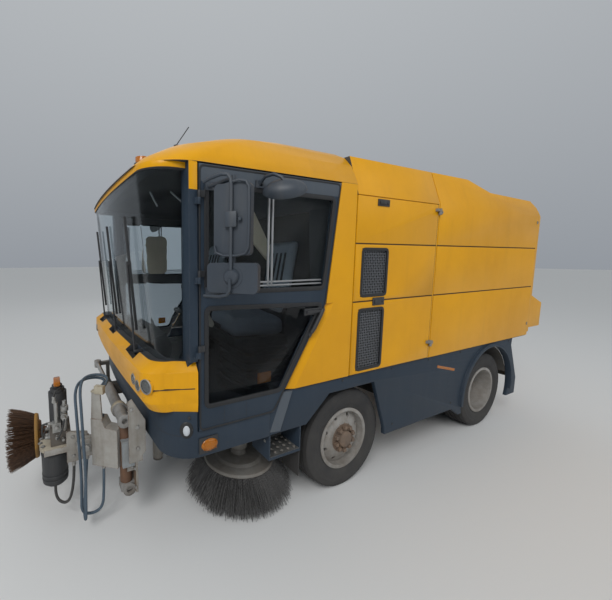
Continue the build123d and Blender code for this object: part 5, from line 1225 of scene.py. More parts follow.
for sign, side in SIDES:
    bm = bmesh.new()
    for pane, radius in ((UPPER_PANE, 0.035), (LOWER_PANE, 0.030)):
        strip(bm, rounded(side_outline(pane, sign * 1.048), radius), (sign, 0, 0), 0.013, 0.006)
    strip(bm, rounded(side_outline(DOOR_BORDER, sign * 1.048), 0.030), (sign, 0, 0), 0.005, 0.003, 0.003)
    solid_piece(f"window_seals_{side}", bm, "louvre_black", f"door_{side}", "black_rubber", smooth=50)
    bm = bmesh.new()
    for y in (-0.776, -0.748):
        side_box(bm, sign, (1.0275, 1.038), (y - 0.006, y + 0.006), (1.575, 2.105), round_by=0.0015)
    for z in (1.578, 1.600):
        side_box(bm, sign, (1.0275, 1.038), (-1.180, -0.345), (z - 0.005, z + 0.005), round_by=0.0015)
    solid_piece(f"sliding_bars_{side}", bm, "aluminium", f"door_{side}", "cast_metal", smooth=40)
print("window strips made")

# %% The panes
def banded_windscreen():
    bm = clean_copy("windscreen")
    for place, across in ((at(0, 0, 2.105), (0, 0, 1)), (at(0, 0, 1.205), (0, 0, 1)), (at(0, -1.345, 0), (0, 1, 0))):
        cut(bm, place, Vector(across))
    side = at(0, -1.345, 0).y
    for face in bm.faces:
        middle = face.calc_center_median()
        face.material_index = 1 if middle.z > 2.105 or middle.z < 1.205 or middle.y > side else 0
    return piece_from("windscreen_banded", bm, ["window_glass", "frit_black"], "truck", SLOT_OF["windscreen"],
                      ["windscreen"], smooth=30)


clear_material("smoked_glass", (0.40, 0.44, 0.48), 0.0, 0.0, ior=1.2)
banded_windscreen()
for side in ("left", "right"):
    dress(f"door_glass_{side}", ("window_glass", "smoked_glass"), 0.0008, 1, pick=lambda c, n: 1 if c.z < 1.5 else 0)
print("panes dressed")

# %% [markdown]
# ## Louvres
# The engine breathes through two openings on each side, covered with woven wire in a rounded black frame.
# A weave follows a rule, so Geometry Nodes lay out one wavy wire at equal steps, and turn each second one
# over, which is what makes it look woven.

# %% One wavy wire, and the tree that weaves
def wire_mesh(length, pitch, swing, radius=0.0021):
    """A wire along +X that waves up and down once for every two crossings."""
    count = max(4, round(length / pitch) * 2)
    line = [Vector((length * (i / count - 0.5), 0.0, swing * math.sin(math.pi * i / 2.0 + math.pi / 4)))
            for i in range(count + 1)]
    bm = bmesh.new()
    tube_along(bm, line, radius, sides=4)
    outward(bm)
    return mesh_from(bm, "wire")


weave_tree, gin, gout = geometry_tree("Wires In A Row", [
    ("Wire", "NodeSocketObject", None), ("Count", "NodeSocketInt", 20), ("Step", "NodeSocketFloat", 0.012),
    ("Material", "NodeSocketMaterial", None)])
half_row = maths(weave_tree, "MULTIPLY", maths(weave_tree, "MULTIPLY", maths(weave_tree, "SUBTRACT",
                                                                             gin.outputs["Count"], 1.0),
                                               gin.outputs["Step"]), -0.5)
start = add_node(weave_tree, "ShaderNodeCombineXYZ", [("Y", half_row)]).outputs[0]
shift = add_node(weave_tree, "ShaderNodeCombineXYZ", [("Y", gin.outputs["Step"])]).outputs[0]
row = add_node(weave_tree, "GeometryNodeMeshLine", [("Count", gin.outputs["Count"]), ("Start Location", start),
                                                    ("Offset", shift)])
number = add_node(weave_tree, "GeometryNodeInputIndex").outputs[0]
over = maths(weave_tree, "MULTIPLY", maths(weave_tree, "MODULO", number, 2.0), math.pi)
flip = add_node(weave_tree, "ShaderNodeCombineXYZ", [("X", over)]).outputs[0]
place_copies(weave_tree, gin, gout, "Wire", row.outputs["Mesh"], [("Rotation", flip)])


def wires(length, pitch, count, turn, place):
    spare = new_object("wire_copy", wire_mesh(length, pitch, 0.0022))
    host = run_tree(weave_tree, "wires", {"Wire": spare, "Count": count, "Step": pitch,
                                          "Material": MATERIALS["louvre_wire"]})
    part = bmesh.new()
    part.from_mesh(host.data)
    bpy.data.objects.remove(host)
    bpy.data.objects.remove(spare)
    bmesh.ops.transform(part, verts=part.verts, matrix=Matrix.Translation(place) @ turn.to_4x4())
    return part


# %% Two louvres and two latches on each side
finish_material("louvre_wire", (0.17, 0.185, 0.205), (0.24, 0.255, 0.28), DUST, (0.2, 0.2, 0.2),
                rough=(0.35, 0.55), metallic=0.5, grime_at=(8.0, 0.2, 0.4, 1.6), chip=(40.0, 0.1, 0.1, 0.002))
LOUVRES = [(0.020, 0.300, 1.465, 1.808), (0.010, 0.285, 0.925, 1.378)]
for sign, side in SIDES:
    bm, frame_bm = bmesh.new(), bmesh.new()
    for y0, y1, z0, z1 in LOUVRES:
        middle = at(sign * 1.0405, (y0 + y1) / 2, (z0 + z1) / 2)
        pitch = 0.0190
        upright = Matrix(((0, 0, sign), (0, sign, 0), (sign, 0, 0)))
        level = Matrix(((0, 0, sign), (sign, 0, 0), (0, 1, 0)))
        pour(wires(z1 - z0 - 0.008, pitch, round((y1 - y0 - 0.02) / pitch), upright, middle), bm)
        pour(wires(y1 - y0 - 0.008, pitch, round((z1 - z0 - 0.02) / pitch), level, middle), bm)
        border = side_outline([(y0 + 0.006, z0 + 0.006), (y1 - 0.006, z0 + 0.006), (y1 - 0.006, z1 - 0.006),
                               (y0 + 0.006, z1 - 0.006)],
                              sign * 1.050)
        strip(frame_bm, rounded(border, 0.028), (sign, 0, 0), 0.0105, 0.004, 0.014)
        # a dark gauze behind the wire
        side_box(frame_bm, sign, (1.0290, 1.0305), (y0 + 0.003, y1 - 0.003), (z0 + 0.003, z1 - 0.003))
    piece_from(f"louvre_weave_{side}", bm, "louvre_wire", f"hatch_{side}", "mesh_steel", [f"louvres_{side}"],
               smooth=60)
    solid_piece(f"louvre_frames_{side}", frame_bm, "louvre_black", f"hatch_{side}", "black_plastic",
                [f"louvres_{side}"], smooth=40)
    bm = bmesh.new()
    for z0, z1 in ((1.396, 1.454), (2.104, 2.152)):
        side_box(bm, sign, (1.0495, 1.057), (0.153, 0.278), (z0, z1), round_by=0.003)
        side_box(bm, sign, (1.056, 1.065), (0.167, 0.238), (z0 + 0.012, z1 - 0.012), round_by=0.004)
        knob(bm, at(sign * 1.057, 0.258, (z0 + z1) / 2), (sign, 0, 0), 0.011, 0.004, 0.006, 0.009)
    solid_piece(f"latches_{side}", bm, "black_plastic", f"hatch_{side}", "black_plastic", [f"louvres_{side}"],
                smooth=40)
print("louvres woven")

# %% [markdown]
# ## Lamps, marker and reflectors
# A lamp is a lens over a bright bowl. The CAD lamp gives the place; a chrome ring, a bowl
# and a ribbed lens make it read as a lamp from near by.

# %% Side lamps
def dome(bm, place, out, half_wide, half_high, depth, rings=5, sides=28):
    """A shallow oval dome whose flat back faces against out."""
    out = Vector(out).normalized()
    level = Z_AXIS.cross(out).normalized()
    upright = out.cross(level)
    loops = []
    for i in range(rings):
        t = math.pi / 2 * i / rings
        loops.append([bm.verts.new(place + level * half_wide * math.cos(t) * math.cos(math.tau * k / sides)
                                   + upright * half_high * math.cos(t) * math.sin(math.tau * k / sides)
                                   + out * depth * math.sin(t))
                      for k in range(sides)])
    tip = bm.verts.new(place + out * depth)
    for near_loop, far_loop in zip(loops, loops[1:]):
        for k in range(sides):
            bm.faces.new((near_loop[k], near_loop[(k + 1) % sides], far_loop[(k + 1) % sides], far_loop[k]))
    for k in range(sides):
        bm.faces.new((loops[-1][k], loops[-1][(k + 1) % sides], tip))
    bm.faces.new(list(reversed(loops[0])))


finish_material("lamp_white", (0.62, 0.66, 0.70), (0.55, 0.58, 0.60), DUST, DUST, rough=(0.12, 0.22),
                grime_at=(9.0, 0.15, 0.3, 1.2), chip=(30.0, 0.0, 0.0, 0.002))
OVALS = [
    # piece, half width and half height, depth, distance off the skirt, finish, slot
    ("oval_lamp", (0.020, 0.031), 0.012, 0.008, "lamp_white", "lamp_lens"),
    ("oval_lamp_rim", (0.038, 0.050), 0.011, 0.001, "louvre_black", "black_plastic"),
]
for sign, side in SIDES:
    corner = Vector((sign * 0.905, -0.425, 0.0))
    spot = at(sign * 1.018, -1.300, 0.789)
    for name, half, depth, push, material, slot_name in OVALS:
        bm = bmesh.new()
        dome(bm, spot + corner * push, corner, half[0], half[1], depth)
        solid_piece(f"{name}_{side}", bm, material, "truck", slot_name, smooth=50)
    bm = bmesh.new()
    knob(bm, at(sign * 1.022, -1.285, 0.862), corner, 0.009, 0.010, 0.013, 0.006, sides=14)
    solid_piece(f"skirt_knob_{side}", bm, "black_plastic", "truck", "black_plastic", smooth=40)
    bm = bmesh.new()
    side_box(bm, sign, (1.0395, 1.0500), (-1.236, -1.116), (0.640, 0.736), round_by=0.0045)
    solid_piece(f"marker_base_{side}", bm, "black_plastic", "truck", "black_plastic", smooth=40)
    bm = bmesh.new()
    dome(bm, at(sign * 1.0495, -1.172, 0.688), (sign, 0, 0), 0.052, 0.036, 0.014, rings=6, sides=40)
    for i in range(-3, 4):
        box_round(bm, at(sign * 1.056, -1.172 + i * 0.012, 0.688), (0.006, 0.0012, 0.024), round_by=0.001)
    solid_piece(f"marker_lens_{side}", bm, "amber_lens", "truck", "lamp_lens", ["lamps"], smooth=50)
    bm = bmesh.new()
    side_box(bm, sign, (1.008, 1.016), (-0.823, -0.723), (0.969, 1.037), round_by=0.003)
    solid_piece(f"door_reflector_{side}", bm, "amber_lens", f"door_{side}", "lamp_lens", smooth=50)

# %% Head lamps: chrome ring and bowl
HEAD_LAMPS = [(0.932, -1.500, 1.046, 0.040, 26), (0.852, -1.524, 1.026, 0.028, 9), (0.776, -1.530, 1.040, 0.028, 4)]
bm = bmesh.new()
bowls = bmesh.new()
for x, y, z, radius, angle in HEAD_LAMPS:
    for sign in (1, -1):
        out = Vector((sign * math.sin(math.radians(angle)), -math.cos(math.radians(angle)), 0.0))
        face = at(sign * x, y, z) + out * 0.002
        turned(bm, [(-0.004, radius - 0.001), (-0.004, radius + 0.005), (0.004, radius + 0.004),
                    (0.006, radius + 0.001), (0.004, radius - 0.003), (-0.004, radius - 0.001)], face, out, sides=32)
        turned(bowls, [(0.0005, radius - 0.003), (0.0025, radius * 0.6), (0.0035, radius * 0.25), (0.0035, 0.0)],
               face, out, sides=32)
solid_piece("lamp_rings", bm, "ram_grey", "truck", "cast_metal", smooth=50)
solid_piece("lamp_faces", bowls, "lamp_face", "truck", "lamp_lens", smooth=50)
print("lamps finished")

# %% [markdown]
# ## Seats
# A seat's cushion and back are foam under fabric. Each starts as a rounded block a little smaller than the
# space of its solid, is remeshed at 7 mm and blown up as cloth, so its faces swell and its sides pull in.
# One simulated pad serves both seats, because they are the same seat.

# %% A pad blown up by the cloth solver
finish_material("seat_vinyl", (0.29, 0.33, 0.38), (0.35, 0.40, 0.46), DUST, (0.12, 0.12, 0.12),
                rough=(0.5, 0.7), grime_at=(5.0, 0.15, 0.4, 1.8), chip=(30.0, 0.0, 0.0, 0.003),
                bump=(500.0, 3.0, 0.3, 0.001))


def swollen_pad(low, high, corner, turn, pressure=4.0, cap=0.012):
    """A rounded block between two corners, turned about its middle and blown up; gives a plain mesh."""
    bm = bmesh.new()
    box_into(bm, low, high, turn=turn, round_by=corner)
    outward(bm)
    pad = new_object("pad", mesh_from(bm, "pad"))
    remesh = pad.modifiers.new("remesh", "REMESH")
    remesh.mode = "VOXEL"
    remesh.voxel_size = 0.0073
    frozen(pad)
    start = [vert.co.copy() for vert in pad.data.vertices]
    cloth = pad.modifiers.new("cloth", "CLOTH")
    cloth.settings.use_pressure = True
    cloth.settings.uniform_pressure_force = pressure
    cloth.settings.quality = 4
    cloth.settings.effector_weights.gravity = 0.0
    for frame_number in range(1, 21):
        bpy.context.scene.frame_set(frame_number)
    frozen(pad)
    bpy.context.scene.frame_set(1)
    for vert, before in zip(pad.data.vertices, start):
        moved = vert.co - before
        if moved.length > cap:
            vert.co = before + moved.normalized() * cap
    smoother = pad.modifiers.new("finer", "SUBSURF")
    smoother.levels = smoother.render_levels = 1
    frozen(pad)
    result = pad.data
    bpy.data.objects.remove(pad)
    return result


SEAT_MIDDLE = 0.4275
BACK_LEAN = math.atan2(0.145, 0.640)
cushion_mesh = swollen_pad(at(SEAT_MIDDLE - 0.150, -0.700, 1.140), at(SEAT_MIDDLE + 0.150, -0.270, 1.238), 0.028,
                           Matrix.Identity(3))
back_turn = Matrix.Rotation(-BACK_LEAN, 3, "X")
back_mesh = swollen_pad(at(SEAT_MIDDLE - 0.148, -0.262, 1.255), at(SEAT_MIDDLE + 0.148, -0.205, 1.895), 0.026,
                        back_turn)
print("pads:", len(cushion_mesh.vertices), len(back_mesh.vertices), "points")

# %% Two seats from the same pads, each on a bellows base
BACK_MIDDLE = at(SEAT_MIDDLE, -0.2335, 1.575)


def on_back(across, along, out):
    """A place on the front of the seat's back."""
    return BACK_MIDDLE + Vector((across, 0, 0)) + back_turn @ Vector((0, -0.030 - out, along))


for sign, side in SIDES:
    for name, source in (("seat_cushion", cushion_mesh), ("seat_back", back_mesh)):
        bm = bmesh.new()
        bm.from_mesh(source)
        if sign < 0:
            for vert in bm.verts:
                vert.co.x = -vert.co.x
            bmesh.ops.reverse_faces(bm, faces=bm.faces)
        pad = piece_from(f"{name}_{side}", bm, "seat_vinyl", "truck", "seat_fabric", ["seats"], smooth=60)
    bm = bmesh.new()
    for row in (0.12, -0.125):
        for column in (-0.090, -0.045, 0.0, 0.045, 0.090):
            box_round(bm, on_back(column, row, 0.011), (0.009, 0.004, 0.10), turn=back_turn, round_by=0.0035)
    if sign < 0:
        for vert in bm.verts:
            vert.co.x = -vert.co.x
    solid_piece(f"seat_slots_{side}", bm, "louvre_black", "truck", "black_plastic", ["seats"], smooth=40)
    bm = bmesh.new()
    middle = sign * SEAT_MIDDLE
    floor_z = 0.7405
    folds = [(floor_z + 0.060 + i * 0.026, 0.170 if i % 2 else 0.150) for i in range(11)]
    for (z0, half0), (z1, half1) in zip(folds, folds[1:]):
        loops = []
        for z, half in ((z0, half0), (z1, half1)):
            corners = [at(middle + i * half * 0.95, -0.44 + j * half, z) for i, j in ((-1, -1), (1, -1), (1, 1),
                                                                                      (-1, 1))]
            loops.append([bm.verts.new(point) for point in rounded(corners, 0.03, 3)])
        for k in range(len(loops[0])):
            m = (k + 1) % len(loops[0])
            bm.faces.new((loops[0][k], loops[0][m], loops[1][m], loops[1][k]))
    bmesh.ops.remove_doubles(bm, verts=bm.verts, dist=0.0001)
    bmesh.ops.holes_fill(bm, edges=bm.edges)
    solid_piece(f"seat_bellows_{side}", bm, "black_rubber", "truck", "black_rubber", ["seats"], smooth=30)
    bm = bmesh.new()
    box_into(bm, at(middle - 0.150, -0.615, floor_z), at(middle + 0.150, -0.265, floor_z + 0.062), round_by=0.004)
    box_into(bm, at(middle - 0.150, -0.690, 1.058), at(middle + 0.150, -0.265, 1.128), round_by=0.010)
    box_into(bm, at(middle - 0.060, -0.225, 1.10), at(middle + 0.060, -0.190, 1.36), turn=back_turn, round_by=0.006)
    solid_piece(f"seat_base_{side}", bm, "black_plastic", "truck", "black_plastic", ["seats"], smooth=40)
print("seats made")

# %% [markdown]
# ## Inside the cab
# What the photograph shows through the glass: a beige panel that slants down beside the driver, a beige
# blind on the far door, a bright rod under the roof, and a beige bracket with a clip behind the lower pane.

# %% Panels, rods and brackets
finish_material("beige_trim", (0.60, 0.51, 0.38), (0.70, 0.62, 0.50), (0.30, 0.24, 0.17), (0.2, 0.17, 0.13),
                rough=(0.55, 0.75), grime_at=(6.0, 0.25, 0.3, 1.4), chip=(30.0, 0.2, 0.3, 0.003))


def slab(bm, outline, x0, x1, corner=0.0):
    """A (y, z) outline given a thickness across the truck."""
    rims = []
    for x in (x0, x1):
        points = side_outline(outline, x)
        rims.append([bm.verts.new(point) for point in (rounded(points, corner) if corner else points)])
    bm.faces.new(rims[0])
    bm.faces.new(list(reversed(rims[1])))
    for k in range(len(rims[0])):
        m = (k + 1) % len(rims[0])
        bm.faces.new((rims[0][k], rims[0][m], rims[1][m], rims[1][k]))


bm = bmesh.new()
slab(bm, [(-0.690, 2.060), (-0.610, 2.052), (-0.470, 1.830), (-0.480, 1.735), (-0.680, 1.925)], 0.640, 0.662,
     corner=0.012)
solid_piece("slanted_trim", bm, "beige_trim", "truck", "grey_steel", smooth=40)
bm = bmesh.new()
slab(bm, [(-0.990, 1.985), (-0.700, 1.992), (-0.706, 1.560), (-1.000, 1.566)], -0.985, -0.965, corner=0.07)
solid_piece("far_blind", bm, "beige_trim", "door_right", "grey_steel", smooth=40)
bm = bmesh.new()
slab(bm, [(-1.180, 1.462), (-1.125, 1.462), (-1.140, 1.420), (-1.108, 1.365), (-1.122, 1.345), (-1.185, 1.375)],
     0.985, 0.992, corner=0.008)
solid_piece("lower_bracket", bm, "beige_trim", "door_left", "grey_steel", smooth=40)
bm = bmesh.new()
tube_along(bm, [at(0.30, -1.270, 2.215), at(0.30, -1.215, 2.115)], 0.008, sides=12)
tube_along(bm, [at(0.43, -1.160, 2.200), at(0.43, -1.080, 2.140), at(0.43, -1.060, 2.060)], 0.007, sides=12)
solid_piece("roof_rods", bm, "aluminium", "truck", "cast_metal", smooth=50)
DASH_Y = -1.30
bm = bmesh.new()
box_into(bm, at(-0.300, DASH_Y - 0.045, 1.135), at(-0.120, DASH_Y + 0.020, 1.235), round_by=0.012)
box_into(bm, at(-0.060, DASH_Y - 0.030, 1.150), at(0.140, DASH_Y + 0.030, 1.215), round_by=0.012)
for i in range(5):
    knob(bm, at(-0.03 + 0.035 * i, DASH_Y, 1.214), Z_AXIS, 0.009, 0.012, 0.016, 0.006, sides=12)
solid_piece("dash_boxes", bm, "black_plastic", "truck", "black_plastic", smooth=40)
print("cab fitted out")

# %% [markdown]
# ## Folds and seams of the body
# The yellow panel behind the door has a folded front edge below the waist, which catches more light than the
# panel, and the dark skirt goes on with it; the skirt's fold is painted a paler slate as a highlight. Black strips
# lie deep in the joints between the panels as painted shade, so they read as dark lines.

# %% The folded panel behind each door
FOLD = 0.030


def folded_panel(sign):
    inner, outer, low_x = sign * 1.008, sign * 1.050, sign * (1.050 - FOLD)
    foot, waist, shoulder = (-0.6336, 0.900), (-0.300, 1.440), (-0.203, 2.230)
    back_top, back_low = (-0.056, 2.230), (-0.056, 0.900)
    foot_fold, waist_fold = (-0.556, 0.900), (-0.238, 1.440)
    bm = bmesh.new()

    def corner(place, x):
        return bm.verts.new(at(x, *place))
    inside = [corner(place, inner) for place in (foot, waist, shoulder, back_top, back_low)]
    foot_low, waist_low = corner(foot, low_x), corner(waist, low_x)
    waist_out = corner(waist, outer)
    top, rear_top, rear_low = corner(shoulder, outer), corner(back_top, outer), corner(back_low, outer)
    fold_foot, fold_waist = corner(foot_fold, outer), corner(waist_fold, outer)
    for loop in ([fold_foot, fold_waist, waist_out, top, rear_top, rear_low], [foot_low, waist_low, fold_waist,
                                                                               fold_foot],
                 [waist_low, waist_out, fold_waist], inside, [inside[0], inside[1], waist_low, foot_low],
                 [inside[1], inside[2], top, waist_out, waist_low], [inside[2], inside[3], rear_top, top],
                 [inside[3], inside[4], rear_low, rear_top], [inside[4], inside[0], foot_low, fold_foot, rear_low]):
        bm.faces.new(loop)
    outward(bm)
    return bm


bm = bmesh.new()
for sign in (1, -1):
    pour(folded_panel(sign), bm)
dress("cab_pillars", ("sweeper_yellow", "interior_grey"), 0.003, crease=8, bm=bm, name="door_rear_panels",
      pick=lambda c, n: 1 if n.x * c.x < -0.3 * abs(c.x) else 0)

for sign, side in SIDES:
    bm = bmesh.new()
    front = [(-0.640, 0.890), (-0.735, 0.640)]
    rear = [(-0.575, 0.890), (-0.668, 0.640)]
    rows = []
    for (fy, fz), (ry, rz) in zip(front, rear):
        rows.append([bm.verts.new(at(sign * x, y, z)) for x, y, z in (
            (1.030, fy, fz), (1.0365, fy, fz), (1.0520, ry, rz), (1.0365, ry + 0.010, rz), (1.030, ry + 0.010, rz))])
    for k in range(5):
        m = (k + 1) % 5
        bm.faces.new((rows[0][k], rows[0][m], rows[1][m], rows[1][k]))
    bm.faces.new(rows[0])
    bm.faces.new(list(reversed(rows[1])))
    # the fold gets the paler slate, a painted highlight where it catches the light
    solid_piece(f"skirt_fold_{side}", bm, "slate_worn", "truck", SLOT_OF["side_skirts"], smooth=8)

    # black boxes deep in the joints: painted shade that makes the gaps read dark
    bm = bmesh.new()
    for ys in ((-0.0560, -0.0475), (0.9075, 0.9185)):
        side_box(bm, sign, (1.012, 1.0425), ys, (0.902, 2.170))
    box_into(bm, at(sign * 1.040 - 0.008, -0.045, 0.893), at(sign * 1.040 + 0.004 * sign, 2.730, 0.9015))
    solid_piece(f"joint_rubber_{side}", bm, "louvre_black", "truck", "black_rubber", smooth=30)

    bm = bmesh.new()
    grip = [at(sign * 1.066, -0.352, 1.405), at(sign * 1.070, -0.372, 1.375), at(sign * 1.070, -0.425, 1.290),
            at(sign * 1.062, -0.440, 1.262)]
    tube_along(bm, grip, 0.013, sides=12)
    plate = [(-0.330, 1.424), (-0.318, 1.400), (-0.442, 1.222), (-0.458, 1.246)]
    slab(bm, plate, sign * 1.0465, sign * 1.0555, corner=0.008)
    solid_piece(f"door_grip_{side}", bm, "black_plastic", f"door_{side}", "black_plastic", smooth=50)

    bm = bmesh.new()
    for y in (-1.075, -0.925):
        side_box(bm, sign, (1.0478, 1.0484), (y - 0.0012, y + 0.0012), (0.800, 0.895))
    solid_piece(f"door_panel_lines_{side}", bm, "louvre_black", f"door_{side}", "black_rubber", smooth=30)

    bm = bmesh.new()
    slab(bm, [(1.086, 0.800), (1.368, 0.728), (1.368, 0.704), (1.086, 0.776)], sign * 1.0362, sign * 1.0376)
    solid_piece(f"skirt_reflector_{side}", bm, "amber_lens", "truck", "lamp_lens", smooth=30)
    bm = bmesh.new()
    for y, z in ((0.945, 2.107), (0.945, 1.028), (2.715, 2.107), (2.715, 1.028)):
        for turn in range(3):
            side_box(bm, sign, (1.050, 1.0535), (y - 0.017, y + 0.017), (z - 0.004, z + 0.004),
                     turn=Matrix.Rotation(math.pi / 3 * turn, 3, "X"), round_by=0.0012)
    solid_piece(f"star_fasteners_{side}", bm, "ram_grey", "truck", "cast_metal", smooth=40)
print("folds, seams and fittings of the body made")

# %% [markdown]
# ## Mirrors
# Each door carries a tall head and a wide head on bent tube, and a kerb head above the window. The kerb head
# is a bowl, so it is modelled again from rings. The bent tubes lie against the backs of the heads.

# %% Heads, tubes and bosses
finish_material("mirror_shell", (0.026, 0.036, 0.050), (0.045, 0.058, 0.076), DUST, (0.08, 0.08, 0.08),
                rough=(0.38, 0.55), grime_at=(5.0, 0.08, 0.3, 1.8), chip=(34.0, 0.1, 0.2, 0.003),
                bump=(420.0, 3.0, 0.2, 0.001))


def mirror_heads(sign, side):
    bm = clean_copy(f"mirrors_{side}")
    kerb = [vert for vert in bm.verts if abs(vert.co.x) > 1.085 and vert.co.z > 2.02 and vert.co.y > at(0, -0.90,
                                                                                                        0).y]
    bmesh.ops.delete(bm, geom=kerb, context="VERTS")
    seen = Vector((-sign * math.sin(MIRROR_TURN), math.cos(MIRROR_TURN), 0.0))
    for face in bm.faces:
        face.material_index = 1 if face.normal.dot(seen) > 0.97 and face.calc_area() > 0.005 else 0
    piece_from(f"mirror_heads_{side}", bm, ["mirror_shell", "mirror_glass"], f"door_{side}",
               SLOT_OF[f"mirrors_{side}"], [f"mirrors_{side}"], smooth=30)

    wide = Vector((sign * math.cos(MIRROR_TURN), math.sin(MIRROR_TURN), 0.0))
    out = Vector((sign * math.sin(MIRROR_TURN), -math.cos(MIRROR_TURN), 0.0))

    def on(across, z, lift):
        return at(sign * 1.205, -1.120, z) + wide * across + out * (0.023 + lift)
    bm = bmesh.new()
    main = [on(-0.150, 2.115, 0.004), on(-0.110, 2.128, 0.010), on(-0.055, 2.140, 0.012), on(-0.020, 2.136, 0.012),
            on(-0.004, 2.115, 0.012), on(0.0, 2.080, 0.012), on(0.0, 1.990, 0.012), on(0.0, 1.880, 0.012),
            on(0.0, 1.760, 0.012), on(0.0, 1.680, 0.014)]
    tube_along(bm, main, 0.009, sides=12)
    hoop = [on(0.006, 2.100, 0.010), on(0.040, 2.104, 0.010), on(0.072, 2.096, 0.010), on(0.086, 2.070, 0.010),
            on(0.088, 2.0, 0.010), on(0.088, 1.86, 0.010), on(0.086, 1.79, 0.010), on(0.072, 1.762, 0.010),
            on(0.030, 1.752, 0.010), on(-0.040, 1.752, 0.010), on(-0.078, 1.766, 0.010), on(-0.088, 1.80, 0.010)]
    tube_along(bm, hoop, 0.006, sides=10)
    low = [on(0.0, 1.640, 0.030), on(0.0, 1.590, 0.024), on(-0.016, 1.560, 0.018), on(-0.060, 1.548, 0.010),
           on(-0.150, 1.548, 0.0)]
    tube_along(bm, low, 0.009, sides=12)
    box_round(bm, on(0.0, 1.925, 0.016), (0.030, 0.006, 0.038), turn=Matrix.Rotation(sign * MIRROR_TURN, 3, "Z"),
              round_by=0.004)
    knob(bm, on(0.045, 1.925, 0.008), out, 0.010, 0.008, 0.012, 0.007)
    solid_piece(f"mirror_tubes_{side}", bm, "mirror_shell", f"door_{side}", "black_plastic", smooth=50)

    bm = bmesh.new()
    turned(bm, [(-0.004, 0.0), (-0.004, 0.058), (0.003, 0.056), (0.004, 0.048), (0.002, 0.040), (0.016, 0.036),
                (0.022, 0.030), (0.024, 0.0)], on(0.0, 1.648, 0.0), out, sides=36)
    solid_piece(f"mirror_boss_{side}", bm, "mirror_shell", f"door_{side}", "black_plastic", smooth=40)

    bm = bmesh.new()
    facing = Vector((sign * 0.52, -0.50, 0.69))
    dome(bm, at(sign * 1.165, -0.775, 2.100), facing, 0.118, 0.072, 0.062, rings=8, sides=40)
    tube_along(bm, [at(sign * 1.054, -0.862, 2.150), at(sign * 1.090, -0.850, 2.185), at(sign * 1.140, -0.830, 2.190),
                    at(sign * 1.172, -0.805, 2.170), at(sign * 1.185, -0.793, 2.145)], 0.009, sides=12)
    box_round(bm, at(sign * 1.176, -0.792, 2.138), (0.022, 0.018, 0.012), turn=Matrix.Rotation(sign * MIRROR_TURN, 3,
                                                                                               "Z"),
              round_by=0.004)
    solid_piece(f"kerb_mirror_{side}", bm, "mirror_shell", f"door_{side}", "black_plastic", [f"mirrors_{side}"],
                smooth=50)


for sign, side in SIDES:
    mirror_heads(sign, side)
print("mirrors made")

# %% A painted shadow line on the bumper and a groove on the skirt, the rear wheel-houses, and the pale box on the mast
def dark_line_along(name, node, body, shots, half, material, slot_name):
    """A thin dark line that follows a node's surface. shots: (from, direction), rays that find the surface."""
    bm = clean_copy(node)
    tree = BVHTree.FromBMesh(bm)
    bm.free()
    hits = [tree.ray_cast(start, towards) for start, towards in shots]
    hits = [(spot, normal) for spot, normal, _, _ in hits if spot is not None]
    out = bmesh.new()
    for lift in (0.0007, -0.0025):
        rows = [[out.verts.new(spot + normal * lift + Vector((0, 0, high))) for high in (-half, half)]
                for spot, normal in hits]
        for low, high in zip(rows, rows[1:]):
            out.faces.new((low[0], high[0], high[1], low[1]))
    return solid_piece(name, out, material, body, slot_name)


# on the bumper the dark line runs under the step at z 1.030: a painted shadow of the band above it
for sign, side in SIDES:
    ahead = [(at(sign * (0.800 + 0.012 * k), -2.4, 1.030), Vector((0, 1, 0))) for k in range(19)]
    beside = [(at(sign * 1.6, -1.44 + 0.014 * k, 1.030), Vector((-sign, 0, 0))) for k in range(14)]
    dark_line_along(f"bumper_groove_{side}", "front_bumper", BODY_OF["front_bumper"], ahead + beside, 0.0028, "louvre_black",
           "black_rubber")
ahead = [(at(-1.02 + 0.02 * k, -2.4, 0.752), Vector((0, 1, 0))) for k in range(103)]
dark_line_along("skirt_groove", "front_skirt", BODY_OF["front_skirt"], ahead, 0.0016, "louvre_black", "black_rubber")
# the dark wheel-house over each rear pair, from behind the skirt's arch to the pair's inner side
for sign, side in SIDES:
    bm = bmesh.new()
    rims = []
    for x, radius in ((0.640, 0.4685), (1.005, 0.4685), (1.005, 0.4650), (0.640, 0.4650)):
        turns = [math.radians(turn) for turn in range(16, 165, 4)]
        rims.append([bm.verts.new(at(sign * x, REAR_Y + radius * math.cos(turn), TYRE_R + radius * math.sin(turn)))
                     for turn in turns])
    for first, second in zip(rims, rims[1:] + rims[:1]):
        for k in range(len(first) - 1):
            bm.faces.new((first[k], first[k + 1], second[k + 1], second[k]))
    for end in (0, -1):
        bm.faces.new([rim[end] for rim in rims])
    solid_piece(f"wheel_house_{side}", bm, "chassis_paint", BODY_OF["side_skirts"], SLOT_OF["side_skirts"], smooth=30)
bm = bmesh.new()
box_into(bm, at(0.656, -1.592, 0.440), at(0.690, -1.500, 0.606))
box_into(bm, at(0.652, -1.596, 0.606), at(0.694, -1.496, 0.614))
solid_piece("mast_box", bm, "box_grey", BODY_OF["front_mount"], "cast_metal", smooth=30)

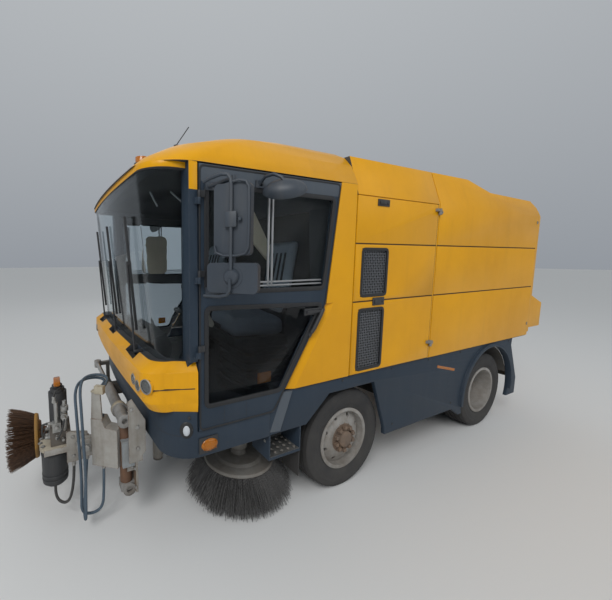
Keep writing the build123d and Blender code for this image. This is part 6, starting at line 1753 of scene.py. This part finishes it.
# %% The floor, the light and the camera
def stage_and_camera():
    bm = bmesh.new()
    bmesh.ops.create_grid(bm, x_segments=2, y_segments=2, size=70.0)
    floor = new_object("floor", mesh_from(bm, "floor"))
    _, shader = new_material("pale_floor")
    shader.inputs["Base Color"].default_value = (0.72, 0.72, 0.71, 1.0)
    shader.inputs["Roughness"].default_value = 0.85
    floor.data.materials.append(MATERIALS["pale_floor"])

    world = bpy.data.worlds.new("studio")
    bpy.context.scene.world = world
    world.use_nodes = True
    tree = world.node_tree
    height = add_node(tree, "ShaderNodeSeparateXYZ",
                      [("Vector", add_node(tree, "ShaderNodeTexCoord").outputs["Generated"])])
    sky = blend(tree, (0.46, 0.50, 0.56), (0.93, 0.97, 1.0), ramp(tree, height.outputs["Z"], -0.15, 0.85))
    background = tree.nodes["Background"]
    tree.links.new(sky, background.inputs["Color"])
    background.inputs["Strength"].default_value = 0.56
    lamps = [
        # name, place, target, size, power
        ("key", (6.0, -7.0, 8.0), (0.0, 0.0, 1.2), 4.0, 470.0),
        ("fill", (9.0, 4.0, 5.0), (0.0, 0.5, 1.2), 6.0, 120.0),
        ("back", (-8.0, 3.0, 6.0), (0.0, 0.0, 1.5), 6.0, 50.0),
    ]
    for name, spot, target, size, power in lamps:
        light = bpy.data.lights.new(name, "AREA")
        light.size = size
        light.energy = power
        lamp = new_object(name, light)
        lamp.location = spot
        lamp.rotation_euler = (Vector(target) - Vector(spot)).to_track_quat("-Z", "Y").to_euler()

    yaw, pitch, roll = math.radians(64.05), math.radians(6.26), math.radians(-0.12)
    forward = Vector((-math.sin(yaw) * math.cos(pitch), math.cos(yaw) * math.cos(pitch), -math.sin(pitch)))
    right = Vector((math.cos(yaw), math.sin(yaw), 0.0))
    up = right.cross(forward)
    right, up = (right * math.cos(roll) + up * math.sin(roll)), (up * math.cos(roll) - right * math.sin(roll))
    camera = new_object("camera", bpy.data.cameras.new("camera"))
    camera.data.sensor_width = 36.0
    camera.data.lens = 18.54
    camera.data.shift_x = 0.1674
    camera.data.shift_y = -0.0112
    camera.data.clip_end = 250.0
    place = Matrix((right, up, -forward)).transposed().to_4x4()
    place.translation = at(2.553, -1.940, 1.738)
    camera.matrix_world = place
    bpy.context.scene.camera = camera
    bpy.context.scene.view_settings.view_transform = "Standard"
    return camera


camera = stage_and_camera()
print("camera at", tuple(round(value, 3) for value in camera.location))
